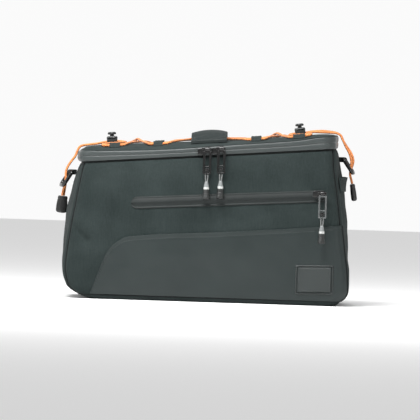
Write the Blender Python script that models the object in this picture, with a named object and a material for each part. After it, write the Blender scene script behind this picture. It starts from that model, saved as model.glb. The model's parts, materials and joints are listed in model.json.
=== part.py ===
"""A rack-top trunk bag: a padded wedge-shaped shell with a coated zip band, a crowned lid laced
with elastic cord, a carry handle, a slanted front pocket, and webbing loops with rings at its ends.

X runs along the bag with the taller end at +X, the front faces -Y, and Z is up. The origin is on
the floor under the middle of the bag. Lengths are in metres.
"""

from math import atan2, cos, pi, radians, sin

import bmesh
import bpy
from mathutils import Matrix, Vector

MM = 0.001
GAP = 0.3 * MM  # between neighbouring pieces

# Padded shell
LENGTH = 362 * MM
DEPTH = 200 * MM
RIM_HEIGHT = 181.4 * MM  # at the middle of the bag
RIM_SLOPE = 0.083  # the rim climbs towards the tall end
WALL = 3 * MM
CORNER = 16 * MM  # plan radius of the upright corners
SEAM_ANGLE = 60  # where a front or back seam lies on its corner, from the front's own direction
FACE_BULGE = 4 * MM
END_BULGE = 7 * MM
HEM = 0.03  # share of the height that the base tray takes

# Each row is a level of the shell, in shares of the rim's height, half the length, half the depth
# and the bulges.
SHELL_LEVELS = (
    # height, left, right, depth, bulge
    (0.000, 0.800, 0.895, 0.945, 0.00),
    (0.012, 0.840, 0.917, 0.965, 0.02),
    (0.030, 0.882, 0.939, 0.980, 0.04),
    (0.060, 0.932, 0.976, 0.990, 0.06),
    (0.100, 0.970, 0.992, 0.996, 0.12),
    (0.220, 1.003, 0.991, 1.000, 0.33),
    (0.300, 1.008, 0.985, 1.000, 0.50),
    (0.420, 1.003, 0.976, 0.996, 0.72),
    (0.560, 0.992, 0.962, 0.986, 0.90),
    (0.700, 0.975, 0.946, 0.970, 1.00),
    (0.870, 0.944, 0.913, 0.947, 0.90),
    (1.000, 0.906, 0.887, 0.925, 0.50),
)

# Lid: a recessed seam, the coated zip band and the crowned top
SEAM_HEIGHT = 2.6 * MM
SEAM_RECESS = 1.7 * MM
SEAM_THICK = 1.4 * MM
BAND_THICK = 1.6 * MM
BAND_PROUD = 0.6 * MM
CREASE_HEIGHT = 14.2 * MM
LID_HEIGHT = 21.6 * MM
LID_WALL = 3 * MM
# Each row gives how high the crease and the lid's crown stand over the rim at a place along the bag.
LID_PROFILE = (
    # along, crease, crown
    (-1.00, 1.28, 1.04),
    (-0.70, 1.00, 1.00),
    (-0.28, 0.86, 0.95),
    (0.12, 0.94, 0.88),
    (0.55, 1.02, 0.90),
    (0.80, 1.24, 1.00),
    (1.00, 1.26, 0.98),
)
# Each row gives how much of the rise from crease to crown the lid has made, at an inset.
LID_DOME = (
    # inset, rise
    (0.0 * MM, 0.00),
    (1.5 * MM, 0.22),
    (5.0 * MM, 0.50),
    (12.0 * MM, 0.74),
    (28.0 * MM, 0.92),
    (60.0 * MM, 1.00),
)
LID_EDGE = 5 * MM  # the inset by which the lid has its full thickness
LID_CORNER = 4 * MM  # the least plan radius of an inset ring

# Lower front panel: its upper edge, as shares of half the length and of the panel's height
PANEL_HEIGHT = 101 * MM
PANEL_THICK = 1.1 * MM
PANEL_EDGE = (
    # along, height
    (-0.800, 0.055),
    (-0.745, 0.330),
    (-0.688, 0.584),
    (-0.635, 0.693),
    (-0.547, 0.782),
    (0.155, 0.881),
    (0.920, 1.000),
)

PANEL_ROWS = (0.0, 0.061, 0.144, 0.246, 0.39, 0.555, 0.80, 1.0)  # closest where the corner turns
PANEL_COLUMNS = (0.006, 0.018, 0.036, 0.054, 0.073, 0.095, 0.12, 0.15)

# Front pocket zip
POCKET_LEFT = -0.533  # shares of half the length
POCKET_RIGHT = 0.818
POCKET_HEIGHT = 121 * MM  # at its left end
POCKET_SLOPE = 0.067
POCKET_WIDTH = 15.5 * MM
POCKET_THICK = 1.2 * MM
POCKET_RIDGE = 2.2 * MM

# Rubber patch
PATCH_WIDTH = 47.8 * MM
PATCH_HEIGHT = 36.9 * MM
PATCH_INNER = 0.86
PATCH_THICK = 1.2 * MM
PATCH_RELIEF = 0.8 * MM
PATCH_ALONG = 0.749
PATCH_CENTRE = 32.4 * MM
PATCH_SLOPE = 0.025

# Carry handle
HANDLE_WIDTH = 46.2 * MM
HANDLE_THICK = 3.2 * MM
HANDLE_RISE = 10.4 * MM
HANDLE_CROWN = 3 * MM
HANDLE_ALONG = -0.009
HANDLE_SPAN = 172 * MM
# Each row is a place along half the strap and how far it has risen there.
HANDLE_LIFT = (
    # along, lift
    (-1.00, 0.00),
    (-0.90, 0.01),
    (-0.82, 0.30),
    (-0.72, 0.78),
    (-0.58, 0.97),
    (0.00, 1.00),
)

# Cord sleeves on the lid's long edges
SLEEVES = (
    # along, length
    (-0.660, 13.0 * MM),
    (-0.361, 11.5 * MM),
    (0.317, 12.6 * MM),
    (0.611, 15.0 * MM),
)
SLEEVE_INSET = 9 * MM
SLEEVE_HALF = 2.4 * MM
SLEEVE_BORE_HEIGHT = 3.9 * MM
SLEEVE_WALL = 1.0 * MM

# Elastic cord and what holds it
CORD_RADIUS = 1.5 * MM
CORD_PITCH = 3.8 * MM  # between the two strands where they run side by side
LOCK_WIDTH = 13.5 * MM
LOCK_DEPTH = 11.5 * MM
LOCK_HEIGHT = 9.8 * MM
LOCK_FLOOR = 1.0 * MM
LOCK_ALONG = (-0.685, 0.624)
BUTTON_RADIUS = 5.0 * MM
BUTTON_CAP = 3.2 * MM
BUTTON_STEM = 2.9 * MM
BUTTON_NECK = 2.1 * MM
BUTTON_SEATED = 1.8 * MM
BORE_CLEARANCE = 0.3 * MM

# End loops
TAB_WIDTH = 19.5 * MM
TAB_REACH = 8.0 * MM
TAB_THICK = 5.4 * MM
RING_WIRE = 1.5 * MM  # radius
RING_CLEARANCE = 4.2 * MM  # of the wire past each side of the tab
RING_WIDTH = TAB_WIDTH + 2 * RING_CLEARANCE
RING_LENGTH = 23 * MM
RING_CORNER = 6 * MM
RING_BEND = 2.5 * MM
# Each row places one end's loop: which end, height, how the ring hangs, and its turn.
END_LOOPS = (
    # name, side, height, seat off the end's smooth skin, hang angle, turn
    ("left", -1, 156.5 * MM, 0.3 * MM, 58, 10),
    ("right", 1, 183.0 * MM, -0.3 * MM, 55, -4),
)

# End flap on the tall end
FLAP_LOW = 143 * MM
FLAP_HEIGHT = 18 * MM
FLAP_THICK = 1.6 * MM
FLAP_GAPE = 4.2 * MM

# Zip sliders and their pulls
SLIDER_LENGTH = 10.5 * MM
SLIDER_HEIGHT = 8.4 * MM
SLIDER_THICK = 2.4 * MM
BAR_RADIUS = 1.1 * MM
BAR_RISE = 3.6 * MM  # of the bar above the zip's own line
LUG_THICK = 1.5 * MM
EYE_RADIUS = 2.7 * MM
EYE_WIDTH = 6.0 * MM
BAR_STANDOFF = EYE_RADIUS + 1.3 * GAP
PULLER_WIDTH = 10.4 * MM
PULLER_LENGTH = 31.5 * MM
PULLER_THICK = 1.8 * MM
PULLER_RIM = 2.2 * MM
KNOT_WINDOW = 7.4 * MM
CORD_NECK = 0.9 * MM  # radius of the pull's own cord
GRIP_TOP = 41 * MM  # below the bar
GRIP_LENGTH = 22.5 * MM
GRIP_WIDE = 4.7 * MM
GRIP_DEEP = 3.4 * MM
REST_LEAN = 6.6  # degrees that a pull rests out from the upright
ZIP_LINE = 7.2 * MM  # of the main zip above the rim
MAIN_SLIDERS = (("zip_left", -0.0555), ("zip_right", 0.0417))
POCKET_SLIDER_ALONG = 0.750
POCKET_BAR_RISE = 1.2 * MM

# The elastic's two strands mirror each other across the bag's middle plane. Each row is a point
# of the front strand in millimetres: the back strand lies at the other side, spread along X and
# lifted where it crosses over.
CORD_ROUTE = (
    # x, y, z, spread, lift
    (-184.3, -1.9, 126.3, 0.9, 0.0),
    (-183.8, -1.9, 130.5, 0.9, 0.0),
    (-181.8, -1.9, 142.0, 0.3, 0.0),
    (-181.4, -1.9, 148.5, 0.0, 0.0),
    (-181.6, -1.9, 155.0, 0.0, 0.0),
    (-180.2, -1.9, 161.5, 0.0, 0.0),
    (-176.0, -1.9, 169.0, 0.0, 0.0),
    (-170.6, -1.9, 176.5, 0.0, 0.0),
    (-168.0, -1.9, 183.0, 0.0, 0.0),
    (-165.4, -1.9, 188.2, 0.0, 0.0),
    (-160.5, -1.9, 190.6, 0.0, 0.0),
    (-144.0, -1.9, 193.2, 0.0, 0.0),
    (-138.0, -1.9, 194.6, 0.0, 0.0),
    (-131.8, -1.9, 195.8, 0.0, 0.0),
    (-124.3, -1.9, 196.5, 0.0, 0.0),
    (-116.8, -1.9, 197.2, 0.0, 0.0),
    (-110.8, -5.0, 197.0, 0.0, 0.0),
    (-107.6, -14.0, 196.4, 0.0, 0.0),
    (-110.0, -27.0, 196.1, 0.0, 0.0),
    (-128.0, -62.0, 194.2, 0.0, 0.0),
    (-134.6, -75.5, 193.0, 0.0, 0.0),
    (-134.0, -82.0, 192.2, 0.0, 0.0),
    (-130.0, -84.6, 191.9, 0.0, 0.0),
    (-110.0, -84.2, 193.5, 0.0, 0.0),
    (-106.0, -79.0, 194.6, 0.0, 0.0),
    (-101.5, -60.0, 196.2, 0.0, 0.0),
    (-96.7, -30.0, 197.0, 0.0, 1.4),
    (-92.0, 0.0, 197.2, 0.0, 3.6),
    (-87.3, 30.0, 197.5, 0.0, 1.4),
    (-82.5, 60.0, 197.4, 0.0, 0.0),
    (-78.0, 79.0, 196.4, 0.0, 0.0),
    (-74.5, 84.2, 195.7, 0.0, 0.0),
    (-56.0, 84.3, 197.0, 0.0, 0.0),
    (-50.0, 78.0, 198.6, 0.0, 0.0),
    (-44.0, 62.0, 200.1, 0.0, 0.0),
    (-28.0, 32.0, 201.7, 0.0, 0.7),
    (-4.0, 0.0, 202.7, 0.0, 3.4),
    (20.0, -32.0, 204.4, 0.0, 0.7),
    (36.0, -62.0, 205.4, 0.0, 0.0),
    (42.0, -78.0, 205.4, 0.0, 0.0),
    (48.0, -84.2, 205.1, 0.0, 0.0),
    (66.5, -84.2, 206.9, 0.0, 0.0),
    (71.0, -78.0, 208.0, 0.0, 0.0),
    (76.0, -50.0, 209.5, 0.0, 0.0),
    (83.5, 0.0, 210.0, 0.0, 3.6),
    (91.0, 50.0, 210.8, 0.0, 0.0),
    (96.5, 78.0, 210.3, 0.0, 0.0),
    (100.8, 84.2, 210.0, 0.0, 0.0),
    (121.5, 84.0, 212.9, 0.0, 0.0),
    (126.0, 77.0, 214.4, 0.0, 0.0),
    (124.5, 64.0, 214.6, 0.0, 0.0),
    (115.5, 44.0, 213.4, 0.0, 0.0),
    (104.0, 27.0, 212.2, 0.0, 0.0),
    (99.2, 13.0, 212.0, 0.0, 0.0),
    (100.8, 5.0, 212.9, 0.0, 0.0),
    (105.0, 1.9, 213.8, 0.0, 0.0),
    (112.5, 1.9, 214.7, 0.0, 0.0),
    (120.6, 1.9, 215.8, 0.0, 0.0),
    (128.0, 1.9, 217.4, 0.0, -0.6),
    (140.0, 1.9, 218.4, 0.0, -1.6),
    (150.0, 1.9, 217.8, 0.0, -1.2),
    (158.0, 1.9, 216.6, 0.0, -0.4),
    (163.6, 1.9, 213.6, 0.0, 0.0),
    (166.4, 1.9, 208.0, 0.0, 0.4),
    (171.0, 1.9, 200.0, -0.6, 0.0),
    (176.4, 1.9, 191.5, -1.2, 0.0),
    (179.2, 1.9, 183.0, -1.4, 0.0),
    (178.9, 1.9, 176.0, -0.8, 0.0),
    (177.6, 1.9, 170.5, 0.0, 0.0),
    (177.1, 1.9, 164.5, 0.0, 0.0),
    (178.6, 1.9, 158.5, 0.0, 0.0),
    (180.2, 1.9, 152.9, 0.0, 0.0),
)

# The moulded grips that close the strands' ends, each hung a little off the upright.
GRIPS = (
    # name, where the strands enter, size along x and y, tilt
    ("left_grip", (-184.3, 126.3), (14.0 * MM, 8.6 * MM), -5),
    ("right_grip", (180.2, 152.9), (7.4 * MM, 14.0 * MM), 9),
)
GRIP_BLOCK = 21.5 * MM

FRONT_STEPS = 8
END_STEPS = 4
ARC_STEPS = 4

FINISHES = {
    # colour, roughness, metallic
    "woven_fabric": ((0.045, 0.057, 0.056), 0.85, 0.0),
    "coated_fabric": ((0.060, 0.077, 0.076), 0.5, 0.0),
    "zip_coating": ((0.095, 0.110, 0.108), 0.4, 0.0),
    "black_webbing": ((0.012, 0.013, 0.014), 0.8, 0.0),
    "rubber": ((0.050, 0.064, 0.063), 0.6, 0.0),
    "black_metal": ((0.020, 0.021, 0.023), 0.3, 0.9),
    "black_plastic": ((0.015, 0.016, 0.017), 0.45, 0.0),
    "orange_elastic": ((0.75, 0.22, 0.05), 0.7, 0.0),
}


def clear_scene():
    for obj in list(bpy.data.objects):
        bpy.data.objects.remove(obj, do_unlink=True)


def finish(name):
    found = bpy.data.materials.get(name)
    if found:
        return found
    colour, roughness, metallic = FINISHES[name]
    made = bpy.data.materials.new(name)
    made.use_nodes = True
    shader = made.node_tree.nodes["Principled BSDF"]
    shader.inputs["Base Color"].default_value = (*colour, 1)
    shader.inputs["Roughness"].default_value = roughness
    shader.inputs["Metallic"].default_value = metallic
    return made


def place(name, bm, slot, origin=(0, 0, 0)):
    """Makes an object of a bmesh, with its origin where asked and its faces turned outwards."""
    bmesh.ops.recalc_face_normals(bm, faces=bm.faces)
    bmesh.ops.translate(bm, verts=bm.verts, vec=-Vector(origin))
    mesh = bpy.data.meshes.new(name)
    bm.to_mesh(mesh)
    bm.free()
    mesh.materials.append(finish(slot))
    mesh.shade_smooth()
    mesh.set_sharp_from_angle(angle=radians(35))
    obj = bpy.data.objects.new(name, mesh)
    obj.location = origin
    bpy.context.scene.collection.objects.link(obj)
    return obj


def follow(table, at, column=1):
    """Reads a column of a table at a place between its rows, along smooth steps."""
    if at <= table[0][0]:
        return table[0][column]
    for low, high in zip(table, table[1:]):
        if at <= high[0]:
            share = (at - low[0]) / (high[0] - low[0])
            share = share * share * (3 - 2 * share)
            return low[column] + (high[column] - low[column]) * share
    return table[-1][column]


def straight(table, at, column=1):
    """Reads a column of a table at a place between its rows, along straight lines."""
    if at <= table[0][0]:
        return table[0][column]
    for low, high in zip(table, table[1:]):
        if at <= high[0]:
            share = (at - low[0]) / (high[0] - low[0])
            return low[column] + (high[column] - low[column]) * share
    return table[-1][column]


def rim_z(x):
    return RIM_HEIGHT + RIM_SLOPE * x


def level(t):
    """The plan of the shell at a share of its height: left, right, half depth and the two bulges."""
    share = [straight(SHELL_LEVELS, t, column) for column in (1, 2, 3, 4)]
    end = END_BULGE * share[3]
    left = -LENGTH / 2 * share[0] + end
    right = LENGTH / 2 * share[1] - end
    return left, right, DEPTH / 2 * share[2], FACE_BULGE * share[3], end


def plan(station, t, out=0.0):
    """The (x, y) of a station of the ring at a level, moved outwards."""
    left, right, half, face, end = level(t)
    left, right, half = left - out, right + out, half + out
    radius = max(CORNER + out, LID_CORNER)
    kind, sx, sy, value = station
    if kind == "corner":
        centre_x = right - radius if sx > 0 else left + radius
        return (
            centre_x + sx * radius * sin(radians(value)),
            sy * (half - radius + radius * cos(radians(value))),
        )
    bow = 1 - (2 * value - 1) ** 2
    if kind == "face":
        return left + radius + (right - left - 2 * radius) * value, sy * (half + face * bow)
    low = -(half - radius)
    return (right + end * bow if sx > 0 else left - end * bow), low + (-2 * low) * value


def skin(station, t, out=0.0, lift=0.0):
    x, y = plan(station, t, out)
    return Vector((x, y, t * rim_z(x) + lift))


def over_rim(station, height, out=0.0):
    """A point of the lid: height is a length, or a function of x."""
    x, y = plan(station, 1.0, out)
    return Vector((x, y, rim_z(x) + (height(x) if callable(height) else height)))


def steps(low, high, count, ends=(True, True)):
    """Evenly spaced values, with or without their two ends."""
    found = [low + (high - low) * i / count for i in range(count + 1)]
    return found[0 if ends[0] else 1 : None if ends[1] else -1]


def corner(sx, sy, low, high, count, ends):
    return [("corner", sx, sy, a) for a in steps(low, high, count, ends)]


def face(sy, low=0.0, high=1.0, count=FRONT_STEPS):
    return [("face", 0, sy, v) for v in steps(low, high, count)]


def end(sx, low=0.0, high=1.0, count=END_STEPS):
    return [("end", sx, 0, v) for v in steps(low, high, count)]


def full_ring():
    """Stations round the whole bag, from the front's left end, each one once."""
    ring = face(-1) + corner(1, -1, 0, 90, ARC_STEPS, (False, False))
    ring += end(1) + corner(1, 1, 90, 0, ARC_STEPS, (False, False))
    ring += face(1)[::-1] + corner(-1, 1, 0, 90, ARC_STEPS, (False, False))
    ring += end(-1)[::-1] + corner(-1, -1, 90, 0, ARC_STEPS, (False, False))
    return ring


def seam_shift():
    """Half the gap at a seam, as an angle of the corner."""
    return GAP / CORNER * 180 / pi


def face_stations(sy):
    """Stations of the front or back panel, from its left seam to its right one."""
    edge = SEAM_ANGLE - seam_shift()
    return (
        corner(-1, sy, edge, 0, ARC_STEPS - 1, (True, False))
        + face(sy)
        + corner(1, sy, 0, edge, ARC_STEPS - 1, (False, True))
    )


def end_stations(sx):
    """Stations of an end gusset, from its front seam to its back one."""
    edge = SEAM_ANGLE + seam_shift()
    return (
        corner(sx, -1, edge, 90, ARC_STEPS - 2, (True, False))
        + end(sx)
        + corner(sx, 1, 90, edge, ARC_STEPS - 2, (False, True))
    )


def between(name, outer, inner, slot, closed=False):
    """A closed solid between two grids of points, which may run round in a ring."""
    bm = bmesh.new()
    grids = [[[bm.verts.new(p) for p in row] for row in grid] for grid in (outer, inner)]
    rows, columns = len(outer), len(outer[0])
    last = columns if closed else columns - 1
    for grid in grids:
        for i in range(rows - 1):
            for j in range(last):
                k = (j + 1) % columns
                bm.faces.new((grid[i][j], grid[i][k], grid[i + 1][k], grid[i + 1][j]))
    a, b = grids
    for j in range(last):
        k = (j + 1) % columns
        bm.faces.new((a[0][j], a[0][k], b[0][k], b[0][j]))
        bm.faces.new((a[-1][j], a[-1][k], b[-1][k], b[-1][j]))
    if not closed:
        for i in range(rows - 1):
            bm.faces.new((a[i][0], a[i + 1][0], b[i + 1][0], b[i][0]))
            bm.faces.new((a[i][-1], a[i + 1][-1], b[i + 1][-1], b[i][-1]))
    return place(name, bm, slot)


def shell_panel(name, stations, slot):
    """One padded panel of the shell, from the hem to the rim."""
    heights = [row[0] for row in SHELL_LEVELS if row[0] >= HEM]
    outer = []
    inner = []
    for t in heights:
        lift = GAP if t == heights[0] else 0.0
        outer.append([skin(s, t, 0.0, lift) for s in stations])
        inner.append([skin(s, t, -WALL, lift) for s in stations])
    return between(name, outer, inner, slot)


def base_tray():
    """The flat base with a low turned-up edge, which the panels are sewn to."""
    bm = bmesh.new()
    ring = full_ring()
    heights = [row[0] for row in SHELL_LEVELS if row[0] <= HEM]
    loops = [[bm.verts.new(skin(s, t)) for s in ring] for t in heights]
    loops.append([bm.verts.new(skin(s, HEM, -WALL)) for s in ring])
    floor = []
    for s in ring:
        x, y = plan(s, HEM, -WALL - GAP)
        floor.append(bm.verts.new((x, y, WALL)))
    loops.append(floor)
    count = len(ring)
    for low, high in zip(loops, loops[1:]):
        for j in range(count):
            k = (j + 1) % count
            bm.faces.new((low[j], low[k], high[k], high[j]))
    bm.faces.new(loops[0])
    bm.faces.new(loops[-1])
    return place("base_tray", bm, "woven_fabric")


def crease(x):
    return CREASE_HEIGHT * follow(LID_PROFILE, 2 * x / LENGTH, 1)


def crown(x):
    return LID_HEIGHT * follow(LID_PROFILE, 2 * x / LENGTH, 2)


def lid_height(x, inset):
    """How high the lid's outer skin stands over the rim, at a place and an inset."""
    return crease(x) + GAP + straight(LID_DOME, inset) * (crown(x) - crease(x))


def lid_z(x, y):
    """The height of the lid's outer skin."""
    left, right, half, face_bulge, end_bulge = level(1.0)
    share = (x - left - CORNER) / (right - left - 2 * CORNER)
    bow = max(0.0, 1 - (2 * share - 1) ** 2)
    inset = min(half + face_bulge * bow - abs(y), right + end_bulge - x, x - left + end_bulge)
    return rim_z(x) + lid_height(x, max(0.0, inset))


def seam_ring():
    """The recessed seam between the shell and the zip band, which shows as a dark line."""
    ring = full_ring()
    heights = (GAP, SEAM_HEIGHT - GAP)
    outer = [[over_rim(s, h, -SEAM_RECESS) for s in ring] for h in heights]
    inner = [[over_rim(s, h, -SEAM_RECESS - SEAM_THICK) for s in ring] for h in heights]
    return between("rim_seam", outer, inner, "black_webbing", closed=True)


def band_points(stations, out):
    """Rows of the band, which swells a little between the seam and the crease."""
    rows = []
    for share, swell in ((0.0, 0.0), (0.3, 1.0), (0.55, 0.7), (0.8, 1.0), (1.0, 0.0)):

        def height(x, share=share):
            return SEAM_HEIGHT + (crease(x) - SEAM_HEIGHT) * share

        rows.append([over_rim(s, height, out + BAND_PROUD * swell) for s in stations])
    return rows


def band_piece(name, stations, slot):
    outer = band_points(stations, 0.0)
    inner = band_points(stations, -BAND_THICK)
    return between(name, outer, inner, slot)


def zip_band():
    """The coated zip tape, round the front and both ends."""
    trim = seam_shift()
    stations = corner(-1, 1, SEAM_ANGLE + trim, 90, ARC_STEPS - 2, (True, False))
    stations += end(-1)[::-1] + corner(-1, -1, 90, 0, ARC_STEPS, (False, False))
    stations += face(-1) + corner(1, -1, 0, 90, ARC_STEPS, (False, False))
    stations += end(1) + corner(1, 1, 90, SEAM_ANGLE + trim, ARC_STEPS - 2, (False, True))
    return band_piece("zip_band", stations, "zip_coating")


def lid_top():
    """The crowned padded lid, closed across its middle by strips from front to back."""
    bm = bmesh.new()
    ring = full_ring()
    count = len(ring)
    arc = ARC_STEPS - 1
    front_end = FRONT_STEPS + 1
    right_start = front_end + arc
    right_end = right_start + END_STEPS + 1
    back_start = right_end + arc
    back_end = back_start + FRONT_STEPS + 1
    left_start = back_end + arc
    left_end = left_start + END_STEPS + 1
    front = list(range(left_end, count)) + list(range(0, right_start))
    back = list(range(right_end, left_start))[::-1]

    def skin_of(drop):
        loops = []
        for inset, _ in LID_DOME:
            rows = []
            for s in ring:
                x, y = plan(s, 1.0, -inset - drop)
                z = rim_z(x) + lid_height(x, inset) - drop * min(1.0, inset / LID_EDGE)
                rows.append(bm.verts.new((x, y, z)))
            loops.append(rows)
        return loops

    edges = []
    for loops in (skin_of(0.0), skin_of(LID_WALL)):
        edges.append(loops[0])
        for low, high in zip(loops, loops[1:]):
            for j in range(count):
                k = (j + 1) % count
                bm.faces.new((low[j], low[k], high[k], high[j]))
        top = loops[-1]
        for (a, b), (c, d) in zip(zip(front, front[1:]), zip(back, back[1:])):
            bm.faces.new((top[a], top[b], top[d], top[c]))
        right_cap = [front[-1], *range(right_start, right_end), back[-1]]
        left_cap = [back[0], *range(left_start, left_end), front[0]]
        bm.faces.new([top[j] for j in right_cap])
        bm.faces.new([top[j] for j in left_cap])
    outer, inner = edges
    for j in range(count):
        k = (j + 1) % count
        bm.faces.new((outer[j], outer[k], inner[k], inner[j]))
    return place("lid_top", bm, "woven_fabric")


def front_y(x, z, out=0.0):
    """The y of the front's outer skin at a place, moved outwards."""
    t = min(1.0, z / rim_z(x))
    left, right, half, face_bulge, _ = level(t)
    low, high = left + CORNER, right - CORNER
    if x < low or x > high:
        centre = low if x < low else high
        reach = min(abs(x - centre), CORNER * 0.999)
        drop = CORNER - (CORNER**2 - reach**2) ** 0.5
        return -(half - drop + out)
    bow = 1 - (2 * (x - low) / (high - low) - 1) ** 2
    return -(half + face_bulge * bow + out)


def front_point(x, z, out):
    return Vector((x, front_y(x, z, out), z))


def panel_point(column, z, out):
    """A point over the lower front: a column is a share of its flat width, or a corner's angle."""
    kind, value = column
    start = PANEL_EDGE[0][0] * LENGTH / 2
    x = LENGTH / 2
    for _ in range(3):
        t = min(1.0, z / rim_z(x))
        if kind == "corner":
            x, y = plan(("corner", 1, -1, value), t, out)
        else:
            x = start + (level(t)[1] - CORNER - start) * value
            y = front_y(x, z, out)
    return Vector((x, y, z))


def lower_front_panel():
    """The smooth coated panel over the lower front, with its curved upper edge."""
    low_z = HEM * RIM_HEIGHT + 2 * GAP
    columns = [("flat", c) for c in PANEL_COLUMNS]
    columns += [("flat", c) for c in steps(PANEL_COLUMNS[-1], 1.0, FRONT_STEPS)[1:]]
    edge = SEAM_ANGLE - 2 * seam_shift()
    columns += [("corner", a) for a in steps(0.0, edge, ARC_STEPS, (False, True))]
    grids = []
    for out in (2 * GAP + PANEL_THICK, 2 * GAP):
        grid = []
        for share in PANEL_ROWS:
            row = []
            for column in columns:
                top = PANEL_HEIGHT
                for _ in range(3):
                    along = 2 * panel_point(column, top, out).x / LENGTH
                    top = PANEL_HEIGHT * straight(PANEL_EDGE, along)
                row.append(panel_point(column, low_z + (top - low_z) * share, out))
            grid.append(row)
        grids.append(grid)
    return between("lower_front_panel", grids[0], grids[1], "coated_fabric")


def pocket_line(x):
    left = POCKET_LEFT * LENGTH / 2
    return POCKET_HEIGHT + POCKET_SLOPE * (x - left)


def pocket_zip():
    """The slanted pocket's coated zip: a band with round ends and a low ridge along it."""
    left, right = POCKET_LEFT * LENGTH / 2, POCKET_RIGHT * LENGTH / 2
    radius = POCKET_WIDTH / 2
    columns = [left + radius * (1 - cos(radians(a))) for a in (8, 30, 50, 70, 90)]
    columns += [left + radius + (right - left - 2 * radius) * i / 10 for i in range(1, 10)]
    columns += [right - radius * (1 - cos(radians(a))) for a in (90, 70, 50, 30, 8)]
    profile = ((-1.0, 0.0), (-0.45, 0.35), (0.0, 1.0), (0.45, 0.6), (1.0, 0.0))
    grids = []
    for thick in (True, False):
        grid = []
        for across, ridge in profile:
            row = []
            for x in columns:
                near = min(x - left, right - x)
                half = radius if near >= radius else (radius**2 - (radius - near) ** 2) ** 0.5
                z = pocket_line(x) + across * half
                share = min(1.0, near / (2 * radius))
                out = 2 * GAP
                if thick:
                    out += POCKET_THICK + (POCKET_RIDGE - POCKET_THICK) * ridge * share
                row.append(front_point(x, z, out))
            grid.append(row)
        grids.append(grid)
    return between("pocket_zip", grids[0], grids[1], "zip_coating")


def rubber_patch():
    """The moulded patch on the lower panel: a thin border round a raised, blank field."""
    under = 2 * GAP + PANEL_THICK + GAP
    centre = PATCH_ALONG * LENGTH / 2
    step = PATCH_INNER + 0.04
    marks = (-1.0, -step, -PATCH_INNER, 0.0, PATCH_INNER, step, 1.0)
    grids = []
    for thick in (True, False):
        grid = []
        for v in marks:
            row = []
            for u in marks:
                x = centre + u * PATCH_WIDTH / 2
                z = PATCH_CENTRE + v * PATCH_HEIGHT / 2 + PATCH_SLOPE * (x - centre)
                raised = max(abs(u), abs(v)) <= PATCH_INNER + 1e-6
                out = under + (PATCH_THICK + PATCH_RELIEF * raised if thick else 0.0)
                row.append(front_point(x, z, out))
            grid.append(row)
        grids.append(grid)
    return between("rubber_patch", grids[0], grids[1], "rubber")


def handle():
    """The wide strap over the lid, sewn down at both long edges and arched between them."""
    centre = HANDLE_ALONG * LENGTH / 2
    half_span = HANDLE_SPAN / 2
    marks = [row[0] for row in HANDLE_LIFT]
    extra = [(a + b) / 2 for a, b in zip(marks[1:], marks[2:])]
    alongs = sorted(marks + extra)
    alongs += [-a for a in alongs[-2::-1]]
    grids = []
    for top in (HANDLE_THICK, 0.0):
        grid = []
        for along in alongs:
            y = along * half_span
            lift = follow(HANDLE_LIFT, -abs(along))
            row = []
            for across in steps(-1.0, 1.0, 4):
                x = centre + across * HANDLE_WIDTH / 2
                crowned = HANDLE_CROWN * lift * (1 - across**2)
                flat = HANDLE_RISE - HANDLE_CROWN
                row.append(Vector((x, y, lid_z(x, y) + 2 * GAP + flat * lift + crowned + top)))
            grid.append(row)
        grids.append(grid)
    return between("handle", grids[0], grids[1], "woven_fabric")


def sleeve(name, along, length, sy):
    """A short fabric tunnel on the lid's edge, which the cord runs through."""
    centre = along * LENGTH / 2
    _, _, half, face_bulge, _ = level(1.0)
    y_mid = sy * (half + 0.5 * face_bulge - SLEEVE_INSET)
    grids = []
    for wall in (SLEEVE_WALL, 0.0):
        grid = []
        for x in (centre - length / 2, centre + length / 2):
            row = []
            for a in steps(-90.0, 90.0, 6):
                y = y_mid + (SLEEVE_HALF + wall) * sin(radians(a))
                z = lid_z(x, y) + 2 * GAP + (SLEEVE_BORE_HEIGHT + wall) * cos(radians(a))
                row.append(Vector((x, y, z)))
            grid.append(row)
        grids.append(grid)
    return between(name, grids[0], grids[1], "woven_fabric")


def end_flap():
    """A strip of fabric across the tall end, sewn at its lower edge, whose upper edge gapes."""
    stations = end(1, 0.02, 0.98, 8)
    grids = []
    for thick in (FLAP_THICK, 0.0):
        grid = []
        for share in steps(0.0, 1.0, 4):
            z = FLAP_LOW + FLAP_HEIGHT * share
            row = []
            for s in stations:
                bow = 1 - (2 * s[3] - 1) ** 2
                out = 2 * GAP + thick + FLAP_GAPE * share**1.5 * bow**0.5
                x, y = plan(s, z / rim_z(LENGTH / 2), out)
                row.append(Vector((x, y, z)))
            grid.append(row)
        grids.append(grid)
    return between("end_flap", grids[0], grids[1], "woven_fabric")


def block(size, centre, bevel=0.0, segments=1):
    bm = bmesh.new()
    bmesh.ops.create_cube(bm, size=1.0)
    bmesh.ops.scale(bm, verts=bm.verts, vec=size)
    if bevel:
        bmesh.ops.bevel(
            bm, geom=bm.edges[:], offset=bevel, segments=segments, affect="EDGES", profile=0.5
        )
    bmesh.ops.translate(bm, verts=bm.verts, vec=centre)
    return bm


def rod(radius, length, centre, axis="Z", sides=12):
    bm = bmesh.new()
    bmesh.ops.create_cone(
        bm, cap_ends=True, segments=sides, radius1=radius, radius2=radius, depth=length
    )
    turn = {"X": Matrix.Rotation(pi / 2, 3, "Y"), "Y": Matrix.Rotation(pi / 2, 3, "X")}
    if axis in turn:
        bmesh.ops.rotate(bm, verts=bm.verts, cent=(0, 0, 0), matrix=turn[axis])
    bmesh.ops.translate(bm, verts=bm.verts, vec=centre)
    return bm


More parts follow.
